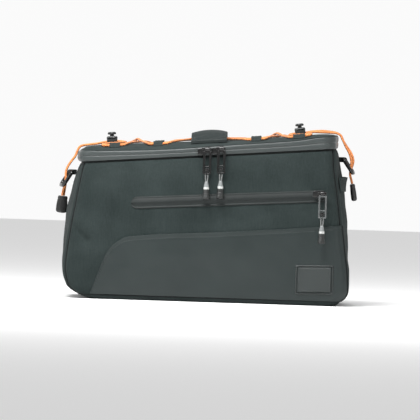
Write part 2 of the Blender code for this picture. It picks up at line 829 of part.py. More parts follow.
def turned(profile, sides=10, squash=1.0):
    """A solid of revolution about Z from (radius, z) pairs, top first, squashed along Y."""
    bm = bmesh.new()
    rings = []
    for radius, z in profile:
        ring = []
        for i in range(sides):
            a = 2 * pi * i / sides
            ring.append(bm.verts.new((radius * cos(a), radius * squash * sin(a), z)))
        rings.append(ring)
    for low, high in zip(rings, rings[1:]):
        for j in range(sides):
            k = (j + 1) % sides
            bm.faces.new((low[j], low[k], high[k], high[j]))
    bm.faces.new(rings[0])
    bm.faces.new(rings[-1])
    return bm


def combine(name, base, slot, add=(), cut=(), transform=None, origin=(0, 0, 0)):
    """Unites and cuts bmeshes with exact Booleans and leaves one plain object."""
    body = place(name + "_stock", base, slot)
    helpers = [body]
    for operation, tools in (("UNION", add), ("DIFFERENCE", cut)):
        for tool in tools:
            helper = place(name + "_tool", tool, slot)
            helper.hide_render = True
            helper.display_type = "WIRE"
            helpers.append(helper)
            modifier = body.modifiers.new(operation.title(), "BOOLEAN")
            modifier.operation = operation
            modifier.solver = "EXACT"
            modifier.object = helper
    bpy.context.view_layer.update()
    graph = bpy.context.evaluated_depsgraph_get()
    mesh = bpy.data.meshes.new_from_object(body.evaluated_get(graph))
    bm = bmesh.new()
    bm.from_mesh(mesh)
    if transform is not None:
        bmesh.ops.transform(bm, verts=bm.verts, matrix=transform)
    for helper in helpers:
        bpy.data.objects.remove(helper, do_unlink=True)
    bpy.data.meshes.remove(mesh)
    return place(name, bm, slot, origin)


def cord_lock(name, x):
    """A two-strand cord lock standing square on the sloping lid, and its sprung button."""
    low, high = (lid_z(x + side * LOCK_WIDTH / 2, 0.0) for side in (-1, 1))
    foot = (low + high) / 2 + 3 * GAP
    slot_height = 2 * CORD_RADIUS + 3 * GAP
    slot_width = CORD_PITCH + 2 * CORD_RADIUS + 3 * GAP
    slot_mid = LOCK_FLOOR + slot_height / 2
    body = block((LOCK_WIDTH, LOCK_DEPTH, LOCK_HEIGHT), (0, 0, LOCK_HEIGHT / 2), 1.6 * MM)
    slot = block((2 * LOCK_WIDTH, slot_width, slot_height), (0, 0, slot_mid))
    bore_floor = LOCK_FLOOR + slot_height + 0.9 * MM
    bore_mid = (bore_floor + LOCK_HEIGHT + MM) / 2
    bore = rod(
        BUTTON_STEM + BORE_CLEARANCE, LOCK_HEIGHT + MM - bore_floor, (0, 0, bore_mid), sides=12
    )
    lean = Matrix.Rotation(-atan2(high - low, LOCK_WIDTH), 4, "Y")
    stand = Matrix.Translation((x, 0, foot)) @ lean
    combine(f"{name}_lock_body", body, "black_plastic", cut=(slot, bore), transform=stand)
    cap_low = LOCK_HEIGHT + BUTTON_NECK
    cap = rod(BUTTON_RADIUS, BUTTON_CAP, (0, 0, cap_low + BUTTON_CAP / 2), sides=12)
    stem_low = LOCK_HEIGHT - BUTTON_SEATED
    stem_length = cap_low + BUTTON_CAP / 2 - stem_low
    stem = rod(BUTTON_STEM, stem_length, (0, 0, stem_low + stem_length / 2), sides=12)
    combine(
        f"{name}_lock_button",
        cap,
        "black_plastic",
        add=(stem,),
        transform=stand,
        origin=stand @ Vector((0, 0, LOCK_HEIGHT)),
    )


def end_loop(side, sx, height, seat, hang, turn):
    """A folded webbing tab sewn to an end, and the wire ring that hangs in it."""
    # The end leans out below, so the tab is seated at its lower edge.
    share = (height - TAB_THICK / 2) / rim_z(sx * LENGTH / 2)
    left, right, _, _, bulge = level(min(1.0, share))
    surface = right + bulge if sx > 0 else left - bulge
    lean = TAB_WIDTH / 2 * sin(radians(abs(turn)))
    root = Vector((surface + sx * (seat + lean), 0, height))
    eye = TAB_REACH - TAB_THICK / 2
    body = block((eye, TAB_WIDTH, TAB_THICK), (eye / 2, 0, 0))
    nose = rod(TAB_THICK / 2, TAB_WIDTH, (eye, 0, 0), "Y", 12)
    hole = rod(RING_WIRE + GAP, 2 * TAB_WIDTH, (eye, 0, 0), "Y", 12)
    facing = Matrix.Rotation(0 if sx > 0 else pi, 4, "Z") @ Matrix.Rotation(radians(turn), 4, "Z")
    place_tab = Matrix.Translation(root) @ facing
    combine(f"{side}_tab", body, "black_webbing", add=(nose,), cut=(hole,), transform=place_tab)

    down = Vector((cos(radians(hang)), 0, -sin(radians(hang))))
    half = RING_WIDTH / 2 - RING_WIRE
    reach = RING_LENGTH - 2 * RING_WIRE
    centre = Vector((eye, 0, 0))
    path = []
    # The four round corners of the loop, from the bar's near end: across, along, radius, start.
    for across, along, radius, start in (
        (-half + RING_BEND, RING_BEND, RING_BEND, 270),
        (-half + RING_CORNER, reach - RING_CORNER, RING_CORNER, 180),
        (half - RING_CORNER, reach - RING_CORNER, RING_CORNER, 90),
        (half - RING_BEND, RING_BEND, RING_BEND, 0),
    ):
        for angle in steps(start, start - 90, 3):
            y = across + radius * cos(radians(angle))
            path.append(centre + Vector((0, y, 0)) + down * (along + radius * sin(radians(angle))))
    ring = tube_mesh([place_tab @ p for p in path], RING_WIRE, 8, closed=True)
    place(f"{side}_ring", ring, "black_metal")


def tube_mesh(points, radius, sides, closed=False):
    """A round tube along points, with a steady frame and, if open, flat ends."""
    bm = bmesh.new()
    count = len(points)
    rings = []
    side_vector = None
    for i, p in enumerate(points):
        before = points[i - 1] if closed or i else p
        after = points[(i + 1) % count] if closed or i + 1 < count else p
        along = (after - before).normalized()
        if side_vector is None:
            side_vector = along.orthogonal()
        side_vector = (side_vector - along * side_vector.dot(along)).normalized()
        other = along.cross(side_vector)
        ring = []
        for j in range(sides):
            a = 2 * pi * j / sides
            ring.append(bm.verts.new(p + radius * (cos(a) * side_vector + sin(a) * other)))
        rings.append(ring)
    last = count if closed else count - 1
    for i in range(last):
        low, high = rings[i], rings[(i + 1) % count]
        for j in range(sides):
            k = (j + 1) % sides
            bm.faces.new((low[j], low[k], high[k], high[j]))
    if not closed:
        bm.faces.new(rings[0])
        bm.faces.new(rings[-1])
    return bm


def slider_and_pull(name, x, zip_z, surface, bar_rise):
    """A zip slider on its zip, with the puller and grip that hang from its bar."""
    plate_y = surface - GAP - SLIDER_THICK / 2
    face_y = surface - GAP - SLIDER_THICK
    bar_y = face_y - BAR_STANDOFF
    bar_z = zip_z + bar_rise
    span = EYE_WIDTH + 2 * GAP
    bar_x = x + (SLIDER_LENGTH + span) / 2 - LUG_THICK
    plate = block((SLIDER_LENGTH, SLIDER_THICK, SLIDER_HEIGHT), (x, plate_y, zip_z), 0.7 * MM)
    lug_depth = BAR_STANDOFF + BAR_RADIUS + 0.5 * MM
    lug_y = face_y + 0.2 * MM - lug_depth / 2
    near_x = bar_x - span / 2 - LUG_THICK / 2
    far_x = bar_x + span / 2 + LUG_THICK / 2
    lug_height = 2 * BAR_RADIUS + 0.9 * MM
    near_low = min(bar_z - lug_height / 2, zip_z + SLIDER_HEIGHT / 2 - 2.0 * MM)
    near_size = bar_z + lug_height / 2 - near_low
    near = block((LUG_THICK, lug_depth, near_size), (near_x, lug_y, near_low + near_size / 2))
    far = block((LUG_THICK, lug_depth, lug_height), (far_x, lug_y, bar_z))
    strap_length = far_x + LUG_THICK / 2 - x
    strap = block(
        (strap_length, SLIDER_THICK * 0.6, lug_height),
        (x + strap_length / 2, face_y + SLIDER_THICK * 0.3, bar_z),
    )
    bar = rod(BAR_RADIUS, far_x - near_x, (bar_x, bar_y, bar_z), "X", 10)
    combine(f"{name}_slider", plate, "black_metal", add=(strap, near, far, bar))

    axis = Vector((bar_x, bar_y, bar_z))
    lean = Matrix.Translation(axis) @ Matrix.Rotation(radians(-REST_LEAN), 4, "X")
    top = EYE_RADIUS + GAP
    frame = block(
        (PULLER_WIDTH, PULLER_THICK, PULLER_LENGTH - top), (0, 0, -(PULLER_LENGTH + top) / 2), 0.5 * MM
    )
    eye = rod(EYE_RADIUS, EYE_WIDTH, (0, 0, 0), "X", 10)
    neck = block((EYE_WIDTH, PULLER_THICK, 2 * EYE_RADIUS), (0, 0, -EYE_RADIUS - 0.4 * MM))
    hole = rod(BAR_RADIUS + GAP, 2 * EYE_WIDTH, (0, 0, 0), "X", 12)
    inner = PULLER_WIDTH - 2 * PULLER_RIM
    knot_low = -PULLER_LENGTH + PULLER_RIM * 0.7
    knot_high = knot_low + KNOT_WINDOW
    long_low = knot_high + PULLER_RIM * 0.6
    long_high = -EYE_RADIUS - PULLER_RIM
    window = block((inner, 4 * MM, long_high - long_low), (0, 0, (long_high + long_low) / 2))
    knot_hole = block((inner, 4 * MM, KNOT_WINDOW), (0, 0, (knot_low + knot_high) / 2))
    combine(
        f"{name}_puller",
        frame,
        "black_metal",
        add=(neck, eye),
        cut=(hole, window, knot_hole),
        transform=lean,
        origin=axis,
    )

    half_gap = PULLER_THICK / 2 + GAP
    strand = 2 * CORD_NECK
    knot_depth = 2 * (half_gap + strand)
    knot_size = KNOT_WINDOW - 6 * GAP
    knot = block(
        (inner - 3 * GAP, knot_depth, knot_size), (0, 0, knot_low + GAP * 2 + knot_size / 2), 0.8 * MM
    )
    join = -PULLER_LENGTH - GAP
    strands = []
    strand_mid = half_gap + strand / 2
    for sy in (-1, 1):
        low = join - 1.5 * MM
        high = knot_low + 2 * MM
        size = (0.9 * strand, 0.84 * strand, high - low)
        strands.append(block(size, (0, sy * strand_mid, (high + low) / 2)))
    yoke = block((1.1 * strand, knot_depth, 2.2 * MM), (0, 0, join - 1.1 * MM))
    neck_low = -GRIP_TOP - 1 * MM
    neck_high = join - 1 * MM
    neck_mid = (0, 0, (neck_low + neck_high) / 2)
    neck_cord = rod(1.25 * CORD_NECK, neck_high - neck_low, neck_mid, sides=8)
    grip = turned(
        [
            (1.9 * MM, -GRIP_TOP),
            (0.72 * GRIP_WIDE, -GRIP_TOP - 0.31 * GRIP_LENGTH),
            (0.74 * GRIP_WIDE, -GRIP_TOP - 0.5 * GRIP_LENGTH),
            (GRIP_WIDE, -GRIP_TOP - 0.86 * GRIP_LENGTH),
            (0.95 * GRIP_WIDE, -GRIP_TOP - 0.95 * GRIP_LENGTH),
            (0.7 * GRIP_WIDE, -GRIP_TOP - GRIP_LENGTH),
        ],
        10,
        GRIP_DEEP / GRIP_WIDE,
    )
    combine(
        f"{name}_pull_grip",
        grip,
        "rubber",
        add=(neck_cord, yoke, *strands, knot),
        transform=lean,
        origin=axis,
    )


def elastic_strand(name, side):
    """One strand of the elastic: side is 1 for the front strand and -1 for the back one."""
    back = side < 0
    points = [
        Vector((x - side * spread, side * y, z + lift * back)) * MM
        for x, y, z, spread, lift in CORD_ROUTE
    ]
    curve = bpy.data.curves.new(name, "CURVE")
    curve.dimensions = "3D"
    curve.bevel_depth = CORD_RADIUS
    curve.bevel_resolution = 2
    curve.use_fill_caps = True
    spline = curve.splines.new("POLY")
    spline.points.add(len(points) - 1)
    for point, place_at in zip(spline.points, points):
        point.co = (*place_at, 1.0)
    curve.materials.append(finish("orange_elastic"))
    obj = bpy.data.objects.new(name, curve)
    bpy.context.scene.collection.objects.link(obj)


def cord_grip(name, entry, size, tilt):
    """A moulded grip that closes the ends of the two strands."""
    top = Vector((entry[0] * MM, 0, entry[1] * MM))
    body = block((*size, GRIP_BLOCK), (0, 0, -GRIP_BLOCK / 2 - GAP), 1.8 * MM, 2)
    hang = Matrix.Translation(top) @ Matrix.Rotation(radians(-tilt), 4, "Y")
    combine(name, body, "rubber", transform=hang)


def build():
    clear_scene()
    base_tray()
    shell_panel("front_panel", face_stations(-1), "woven_fabric")
    shell_panel("back_panel", face_stations(1), "woven_fabric")
    shell_panel("left_gusset", end_stations(-1), "woven_fabric")
    shell_panel("right_gusset", end_stations(1), "woven_fabric")
    lower_front_panel()
    pocket_zip()
    rubber_patch()
    seam_ring()
    zip_band()
    trim = SEAM_ANGLE - seam_shift()
    hinge = corner(-1, 1, trim, 0, ARC_STEPS - 1, (True, False)) + face(1)
    hinge += corner(1, 1, 0, trim, ARC_STEPS - 1, (False, True))
    band_piece("lid_hinge", hinge, "woven_fabric")
    lid_top()
    handle()
    for number, (along, length) in enumerate(SLEEVES, 1):
        sleeve(f"front_sleeve_{number}", along, length, -1)
        sleeve(f"back_sleeve_{number}", along, length, 1)
    end_flap()
    for side, along in zip(("left", "right"), LOCK_ALONG):
        cord_lock(side, along * LENGTH / 2)
    for loop in END_LOOPS:
        end_loop(*loop)
    for name, along in MAIN_SLIDERS:
        x = along * LENGTH / 2
        zip_z = rim_z(x) + ZIP_LINE
        surface = front_y(x, rim_z(x), BAND_PROUD)
        slider_and_pull(name, x, zip_z, surface, BAR_RISE)
    x = POCKET_SLIDER_ALONG * LENGTH / 2
    zip_z = pocket_line(x) + 3 * MM
    surface = front_y(x, zip_z - SLIDER_HEIGHT / 2, 2 * GAP + POCKET_RIDGE)
    slider_and_pull("pocket", x, zip_z, surface, POCKET_BAR_RISE)
    for grip in GRIPS:
        cord_grip(*grip)
    elastic_strand("elastic_front", 1)
    elastic_strand("elastic_back", -1)


build()
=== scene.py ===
# %% [markdown]
# # A bicycle trunk bag, dressed
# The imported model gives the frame: where every piece sits, what turns on what, and how big it is.
# This script puts the looks on that frame: cloth with its seams and folds, coated zips, elastic,
# moulded grips and metal pulls. Lengths are in metres, and MM turns millimetres into them.

# %% Load the frame
import json
from math import atan2, cos, exp, hypot, pi, radians, sin

import bmesh
import bpy
from mathutils import Matrix, Vector, noise


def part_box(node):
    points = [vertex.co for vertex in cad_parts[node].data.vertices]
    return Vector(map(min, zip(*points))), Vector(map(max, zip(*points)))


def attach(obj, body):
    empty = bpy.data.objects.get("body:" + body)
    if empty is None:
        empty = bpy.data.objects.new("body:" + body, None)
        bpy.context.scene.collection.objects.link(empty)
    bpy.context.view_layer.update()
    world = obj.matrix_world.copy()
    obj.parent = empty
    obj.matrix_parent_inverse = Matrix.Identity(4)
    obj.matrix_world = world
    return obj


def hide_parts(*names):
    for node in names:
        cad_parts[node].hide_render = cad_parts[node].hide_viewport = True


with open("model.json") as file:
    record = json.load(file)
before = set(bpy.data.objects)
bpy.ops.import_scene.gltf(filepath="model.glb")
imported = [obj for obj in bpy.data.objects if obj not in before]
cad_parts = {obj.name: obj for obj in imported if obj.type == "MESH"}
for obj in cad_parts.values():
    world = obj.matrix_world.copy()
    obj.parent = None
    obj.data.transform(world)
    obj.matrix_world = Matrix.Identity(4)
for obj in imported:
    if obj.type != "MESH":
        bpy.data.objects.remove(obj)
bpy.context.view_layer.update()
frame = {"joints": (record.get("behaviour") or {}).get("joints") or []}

MM = 0.001
GAP = 0.3 * MM
JOINT_AT = {j["child"]: Vector(j["pos_m"]) for j in frame["joints"] if "pos_m" in j}

# %% [markdown]
# ## The camera
# The photograph is square on to the long side and taken from far away, so a long lens ten metres
# off repeats it. The bag stands level here, and the camera is rolled a little, because the
# photograph leans. The lens is worked out from the width that the picture covers at the front.

# %% Camera
SHOT_WIDTH = 525 * MM  # what the picture spans at the bag's front
SHOT_DISTANCE = 10.0
CLIP_END = 50
SHOT_CENTRE = Vector((2.5 * MM, -100 * MM, 115.5 * MM))
SHOT_AZIMUTH = radians(0.4)
SHOT_ELEVATION = radians(0.8)
SHOT_ROLL = radians(1.86)
SENSOR = 36.0

camera_data = bpy.data.cameras.new("camera")
camera_data.sensor_width = SENSOR
camera_data.lens = SENSOR * SHOT_DISTANCE / SHOT_WIDTH
camera_data.clip_end = CLIP_END
camera = bpy.data.objects.new("camera", camera_data)
bpy.context.scene.collection.objects.link(camera)
away = Vector((
    sin(SHOT_AZIMUTH) * cos(SHOT_ELEVATION),
    -cos(SHOT_AZIMUTH) * cos(SHOT_ELEVATION),
    sin(SHOT_ELEVATION),
))
facing = away.to_track_quat("Z", "Y").to_matrix().to_4x4()
roll = Matrix.Rotation(SHOT_ROLL, 4, "Z")
camera.matrix_world = Matrix.Translation(SHOT_CENTRE + SHOT_DISTANCE * away) @ facing @ roll
bpy.context.scene.camera = camera
print("lens in mm:", round(camera_data.lens, 1))

# %% [markdown]
# ## Shader maths as plain expressions
# A material is a small graph. Wrapping a socket in a class with operators lets the graph be
# written as sums and products, and each operator adds its own Math node.


# %% Socket and Finish
class Socket:
    """One value inside a material, with the operators that shader maths needs."""

    def __init__(self, finish, out):
        self.finish = finish
        self.out = out

    def maths(self, operation, *others):
        return self.finish.node("ShaderNodeMath", [self, *others], operation=operation)

    def __add__(self, other):
        return self.maths("ADD", other)

    def __mul__(self, other):
        return self.maths("MULTIPLY", other)

    def __sub__(self, other):
        return self.maths("SUBTRACT", other)

    def sine(self):
        return self.maths("SINE")


class Finish:
    """A material whose Principled shader is fed by Sockets."""

    def __init__(self, name, roughness=0.5, metallic=0.0, specular=0.5, coat=0.0, sheen=0.0):
        self.material = bpy.data.materials.new(name)
        self.material.use_nodes = True
        self.tree = self.material.node_tree
        self.shader = self.tree.nodes["Principled BSDF"]
        self.feed("Roughness", roughness)
        self.feed("Metallic", metallic)
        self.feed("Specular IOR Level", specular)
        self.feed("Coat Weight", coat)
        self.feed("Sheen Weight", sheen)

    def link(self, value, socket):
        if isinstance(value, Socket):
            self.tree.links.new(value.out, socket)
        elif isinstance(value, tuple) and len(value) == 3 and len(socket.default_value) == 4:
            socket.default_value = (*value, 1.0)
        else:
            socket.default_value = value

    def node(self, kind, values=(), output=0, **settings):
        made = self.tree.nodes.new(kind)
        for key, value in settings.items():
            setattr(made, key, value)
        pairs = values.items() if isinstance(values, dict) else enumerate(values)
        for key, value in pairs:
            self.link(value, made.inputs[key])
        return Socket(self, made.outputs[output])

    def feed(self, socket, value):
        self.link(value, self.shader.inputs[socket])

    def mix(self, share, low, high):
        made = self.tree.nodes.new("ShaderNodeMix")
        made.data_type = "RGBA"
        self.link(share, made.inputs[0])
        self.link(low, made.inputs[6])
        self.link(high, made.inputs[7])
        return Socket(self, made.outputs[2])

    def places(self, source="Object", scale=(1, 1, 1)):
        at = self.node("ShaderNodeTexCoord", output=source)
        return self.node("ShaderNodeMapping", {"Vector": at, "Scale": scale})

    def axes(self, place):
        made = self.tree.nodes.new("ShaderNodeSeparateXYZ")
        self.link(place, made.inputs[0])
        return [Socket(self, out) for out in made.outputs]

    def noise(self, place, scale, detail=3.0, roughness=0.55):
        values = {"Vector": place, "Scale": scale, "Detail": detail, "Roughness": roughness}
        return self.node("ShaderNodeTexNoise", values)

    def bump(self, height, depth):
        """Relief from a height between 0 and 1, for a depth in mm."""
        values = {"Height": height, "Distance": depth * MM}
        self.feed("Normal", self.node("ShaderNodeBump", values))


# %% [markdown]
# ## The finishes
# Woven cloth is over-and-under yarns, so two sine waves at right angles make it. Their phase comes
# from the piece's own UV map, laid out in metres, so that the weave bends with the cloth. Coated
# cloth and zip film are smooth with a faint grain, and webbing is ribbed. Pitches, grain sizes and
# relief depths are in mm here.

# %% Cloth, film and webbing
TURN = 2 * pi


def wave(place, pitch):
    """A sine along one axis of a UV map in metres, with a pitch in mm."""
    return (place * (TURN / (pitch * MM))).sine()


def woven(name, dark, light, pitch, depth):
    """Plain weave of the given pitch, with upright slubs and colour that wanders over the piece."""
    made = Finish(name, roughness=0.88, specular=0.06, sheen=0.02)
    u, v, _ = made.axes(made.places("UV"))
    yarn = wave(u, pitch) * wave(v, pitch) * 0.5 + 0.5
    grain = made.noise(made.places("UV"), 0.35 / (pitch * MM), 4.0)
    cloudy = made.noise(made.places(), 22.0, 4.0)
    slub = made.noise(made.places(scale=(900, 900, 60)), 1.0, 2.0)
    share = yarn * 0.2 + grain * 0.35 + slub * 0.4 + cloudy * 0.75 - 0.37
    made.feed("Base Color", made.mix(share, dark, light))
    made.bump(yarn * 0.6 + grain * 0.4, depth)
    return made.material


def film(name, dark, light, roughness, grain_size, depth, coat=0.0):
    """A smooth coating with a faint pebbled grain and soft variation in its gloss."""
    made = Finish(name, specular=0.28, coat=coat)
    made.shader.inputs["Coat Roughness"].default_value = 0.35
    cloudy = made.noise(made.places(), 18.0, 3.0)
    grain = made.noise(made.places(), 1 / (grain_size * MM), 2.0)
    made.feed("Base Color", made.mix(cloudy * 0.7 + grain * 0.3, dark, light))
    made.feed("Roughness", cloudy * 0.16 + (roughness - 0.08))
    made.bump(grain, depth)
    return made.material


def webbing(name, dark, light, pitch, depth):
    """Flat webbing: ribs across it and a herringbone slant between them."""
    made = Finish(name, roughness=0.82, specular=0.15, sheen=0.02)
    u, v, _ = made.axes(made.places("UV"))
    ribs = wave(v, pitch)
    slant = wave(u + v * 0.5, pitch * 1.6)
    height = ribs * 0.3 + slant * 0.2 + 0.5
    grain = made.noise(made.places("UV"), 0.4 / (pitch * MM), 3.0)
    made.feed("Base Color", made.mix(height * 0.5 + grain * 0.5, dark, light))
    made.bump(height, depth)
    return made.material


CLOTH = woven("woven_grey_green", (0.0071, 0.011, 0.0107), (0.0326, 0.0426, 0.0416), 0.9, 0.14)
HEM_CLOTH = woven("woven_hem", (0.0112, 0.0152, 0.0152), (0.032, 0.0408, 0.04), 0.9, 0.12)
LID_CLOTH = woven("woven_lid", (0.013, 0.0178, 0.0174), (0.0355, 0.0444, 0.0435), 0.9, 0.14)
STRAP_CLOTH = webbing("webbing_strap", (0.0077, 0.0103, 0.0103), (0.0256, 0.032, 0.0313), 1.5, 0.14)
SLEEVE_CLOTH = webbing("webbing_sleeve", (0.01, 0.0139, 0.0135), (0.0289, 0.0365, 0.0355), 1.2, 0.12)
# Black webbing: the tabs' own colour, and on the seams the same black is painted shade.
DARK_WEBBING_AND_SEAM_SHADE = webbing("webbing_dark_and_seam_shade", (0.003, 0.004, 0.004), (0.012, 0.014, 0.014), 1.2, 0.12)
COATED = film("coated_cloth", (0.0083, 0.0131, 0.0128), (0.0185, 0.0262, 0.0255), 0.42, 1.1, 0.03, 0.05)
ZIP_FILM = film("zip_film", (0.0242, 0.0302, 0.0296), (0.0417, 0.0491, 0.0484), 0.44, 1.6, 0.02, 0.06)
POCKET_FILM = film("pocket_film", (0.0046, 0.0071, 0.0069), (0.0102, 0.0142, 0.0138), 0.62, 1.6, 0.02)
print("cloth finishes made")

# %% [markdown]
# ## Rubber, plastic, metal, thread and elastic
# The elastic is a braid: two sets of yarn that wind round it in opposite ways. Adding the windings
# to the length on the UV map gives slanted stripes, and the product of the two sets is the braid.


# %% Hard and stretchy finishes
def moulded(name, dark, light, roughness, depth=0.02, metallic=0.0, coat=0.0):
    """Moulded or painted stuff with a fine uneven skin."""
    made = Finish(name, metallic=metallic, coat=coat)
    cloudy = made.noise(made.places(), 60.0, 3.0)
    grain = made.noise(made.places(), 1600.0, 2.0)
    made.feed("Base Color", made.mix(cloudy * 0.6 + grain * 0.4, dark, light))
    made.feed("Roughness", cloudy * 0.14 + (roughness - 0.07))
    made.bump(grain, depth)
    return made.material


def braid(name, dark, light, around, pitch, depth):
    """Yarns that cross round a cord: around is how many lie side by side."""
    made = Finish(name, roughness=0.7, specular=0.3, sheen=0.1)
    u, v, _ = made.axes(made.places("UV"))
    winding, run = u * (TURN * around), v * (TURN / (pitch * MM))
    height = (winding + run).sine() * (winding - run).sine() * 0.5 + 0.5
    dye = made.noise(made.places(), 90.0, 3.0)
    made.feed("Base Color", made.mix(height * 0.5 + dye * 0.6 - 0.05, dark, light))
    made.bump(height, depth)
    return made.material


RUBBER = moulded("moulded_patch", (0.0113, 0.0158, 0.0152), (0.0191, 0.0254, 0.0248), 0.50)
GRIP_RUBBER = moulded("grip_rubber", (0.004, 0.004, 0.004), (0.010, 0.011, 0.011), 0.36)
PULL_END = moulded("pull_end", (0.006, 0.007, 0.007), (0.015, 0.017, 0.016), 0.4)
GRIP_GREY = moulded("grip_grey", (0.10, 0.11, 0.11), (0.19, 0.20, 0.20), 0.42)
GRIP_WHITE = moulded("grip_white", (0.30, 0.31, 0.30), (0.45, 0.46, 0.45), 0.42)
PLASTIC = moulded("lock_plastic", (0.010, 0.012, 0.012), (0.026, 0.029, 0.029), 0.34)
METAL = moulded("black_enamel", (0.002, 0.002, 0.002), (0.006, 0.006, 0.006), 0.24, 0.004)
# This paler grey enamel is painted reflection: it stands for the light that the pocket's black frame
# reflects.
PAINTED_REFLECTION_ENAMEL = moulded("grey_enamel_painted_reflection", (0.085, 0.092, 0.092), (0.13, 0.138, 0.138), 0.24, 0.004, 0.4, 0.3)
THREAD = moulded("thread", (0.020, 0.026, 0.025), (0.044, 0.054, 0.052), 0.75)
ELASTIC = braid("orange_braid", (0.41, 0.0984, 0.0246), (0.7544, 0.3116, 0.1066), 6, 3.4, 0.16)
PULL_CORD = braid("pull_cord", (0.05, 0.055, 0.055), (0.17, 0.175, 0.17), 4, 1.6, 0.08)
KNOT_CORD = braid("knot_cord", (0.002, 0.002, 0.002), (0.008, 0.008, 0.008), 4, 1.6, 0.10)
print("hard finishes made")

# %% [markdown]
# ## The bag's own measures
# The bag is a rounded box whose plan changes with height. A short table gives its outline at a few
# levels, and a curve through each column gives every level between, so the walls come out smooth.

# %% Measures of the shell
LENGTH = 362 * MM
DEPTH = 200 * MM
RIM_HEIGHT = 181.4 * MM
RIM_SLOPE = 0.083
WALL = 3 * MM
CORNER = 16 * MM
LEAST_CORNER = 4 * MM  # no offset makes a corner sharper than this
SEAM_ANGLE = 60  # where round each corner the walls meet, in degrees from the long side
FACE_BULGE = 4 * MM
END_BULGE = 7 * MM
HEM = 0.03  # the share of the height at which the base ends and the walls begin

SHELL_LEVELS = (
    # height, left, right, depth, bulge
    (0.000, 0.800, 0.895, 0.945, 0.00),
    (0.012, 0.840, 0.917, 0.965, 0.02),
    (0.030, 0.882, 0.939, 0.980, 0.04),
    (0.060, 0.932, 0.976, 0.990, 0.06),
    (0.100, 0.970, 0.992, 0.996, 0.12),
    (0.220, 1.003, 0.991, 1.000, 0.33),
    (0.300, 1.008, 0.985, 1.000, 0.50),
    (0.420, 1.003, 0.976, 0.996, 0.72),
    (0.560, 0.992, 0.962, 0.986, 0.90),
    (0.700, 0.975, 0.946, 0.970, 1.00),
    (0.870, 0.944, 0.913, 0.947, 0.90),
    (1.000, 0.906, 0.887, 0.925, 0.50),
)
LID_PROFILE = (
    # along, crease, crown
    (-1.00, 1.28, 1.04),
    (-0.70, 1.00, 1.00),
    (-0.28, 0.86, 0.95),
    (0.12, 0.94, 0.88),
    (0.55, 1.02, 0.90),
    (0.80, 1.24, 1.00),
    (1.00, 1.26, 0.98),
)
LID_DOME = (
    # inset, rise
    (0.0 * MM, 0.00),
    (1.5 * MM, 0.22),
    (5.0 * MM, 0.50),
    (12.0 * MM, 0.74),
    (28.0 * MM, 0.92),
    (60.0 * MM, 1.00),
)
SEAM_HEIGHT = 2.6 * MM
SEAM_RECESS = 1.7 * MM
BAND_THICK = 1.6 * MM
CREASE_HEIGHT = 14.2 * MM
LID_HEIGHT = 21.6 * MM
LID_WALL = 3 * MM


# %% Smooth curves through the tables
def curve_slopes(table, column):
    """The slope at each row, for a curve that never swings past its rows."""
    secants = [(b[column] - a[column]) / (b[0] - a[0]) for a, b in zip(table, table[1:])]
    inner = [2 * a * b / (a + b) if a * b > 0 else 0.0 for a, b in zip(secants, secants[1:])]
    return [secants[0], *inner, secants[-1]]


SLOPES = {}


def curve(table, at, column=1):
    """Reads a column of a table at a place between its rows, along a smooth curve."""
    key = (id(table), column)
    if key not in SLOPES:
        SLOPES[key] = curve_slopes(table, column)
    at = min(max(at, table[0][0]), table[-1][0])
    i = next(k for k in range(len(table) - 1) if at <= table[k + 1][0])
    low, high = table[i], table[i + 1]
    span = high[0] - low[0]
    s = (at - low[0]) / span
    a, b = SLOPES[key][i] * span, SLOPES[key][i + 1] * span
    return (
        low[column] * (2 * s**3 - 3 * s**2 + 1)
        + a * (s**3 - 2 * s**2 + s)
        + high[column] * (3 * s**2 - 2 * s**3)
        + b * (s**3 - s**2)
    )


# %% The outline at any height
def rim_z(x):
    return RIM_HEIGHT + RIM_SLOPE * x


def level(t):
    """The plan of the shell at a share of its height: left, right, half depth and two bulges."""
    left, right, depth, bulge = (curve(SHELL_LEVELS, t, column) for column in (1, 2, 3, 4))
    bow = END_BULGE * bulge
    ends = (-LENGTH / 2 * left + bow, LENGTH / 2 * right - bow)
    return *ends, DEPTH / 2 * depth, FACE_BULGE * bulge, bow


def plan(station, t, out=0.0):
    """The (x, y) of a station of the ring at a level, moved outwards."""
    left, right, half, face_bow, end_bow = level(t)
    left, right, half = left - out, right + out, half + out
    radius = max(CORNER + out, LEAST_CORNER)
    kind, sx, sy, value = station
    if kind == "corner":
        centre_x = right - radius if sx > 0 else left + radius
        x = centre_x + sx * radius * sin(radians(value))
        return x, sy * (half - radius + radius * cos(radians(value)))
    bow = 1 - (2 * value - 1) ** 2
    if kind == "face":
        return left + radius + (right - left - 2 * radius) * value, sy * (half + face_bow * bow)
    y = (half - radius) * (2 * value - 1)
    return (right + end_bow * bow if sx > 0 else left - end_bow * bow), y


def skin(station, t, out=0.0):
    x, y = plan(station, t, out)
    return Vector((x, y, t * rim_z(x)))


def over_rim(station, height, out=0.0):
    """A point above the rim: height is a function of x."""
    x, y = plan(station, 1.0, out)
    return Vector((x, y, rim_z(x) + height(x)))


def steps(low, high, count):
    return [low + (high - low) * i / count for i in range(count + 1)]


def bell(far, width):
    """1 at no distance, and falling off smoothly over the width."""
    return exp(-((far / width) ** 2))


def clamped(value):
    return min(max(value, 0.0), 1.0)


def corner(sx, sy, low, high, count=12):
    return [("corner", sx, sy, a) for a in steps(low, high, count)]


def face(sy, count=120):
    return [("face", 0, sy, v) for v in steps(0.0, 1.0, count)]


def end(sx):
    return [("end", sx, 0, v) for v in steps(0.0, 1.0, 64)]


# %% The height of the lid
def crease(x):
    return CREASE_HEIGHT * curve(LID_PROFILE, 2 * x / LENGTH, 1)


def crown(x):
    return LID_HEIGHT * curve(LID_PROFILE, 2 * x / LENGTH, 2)


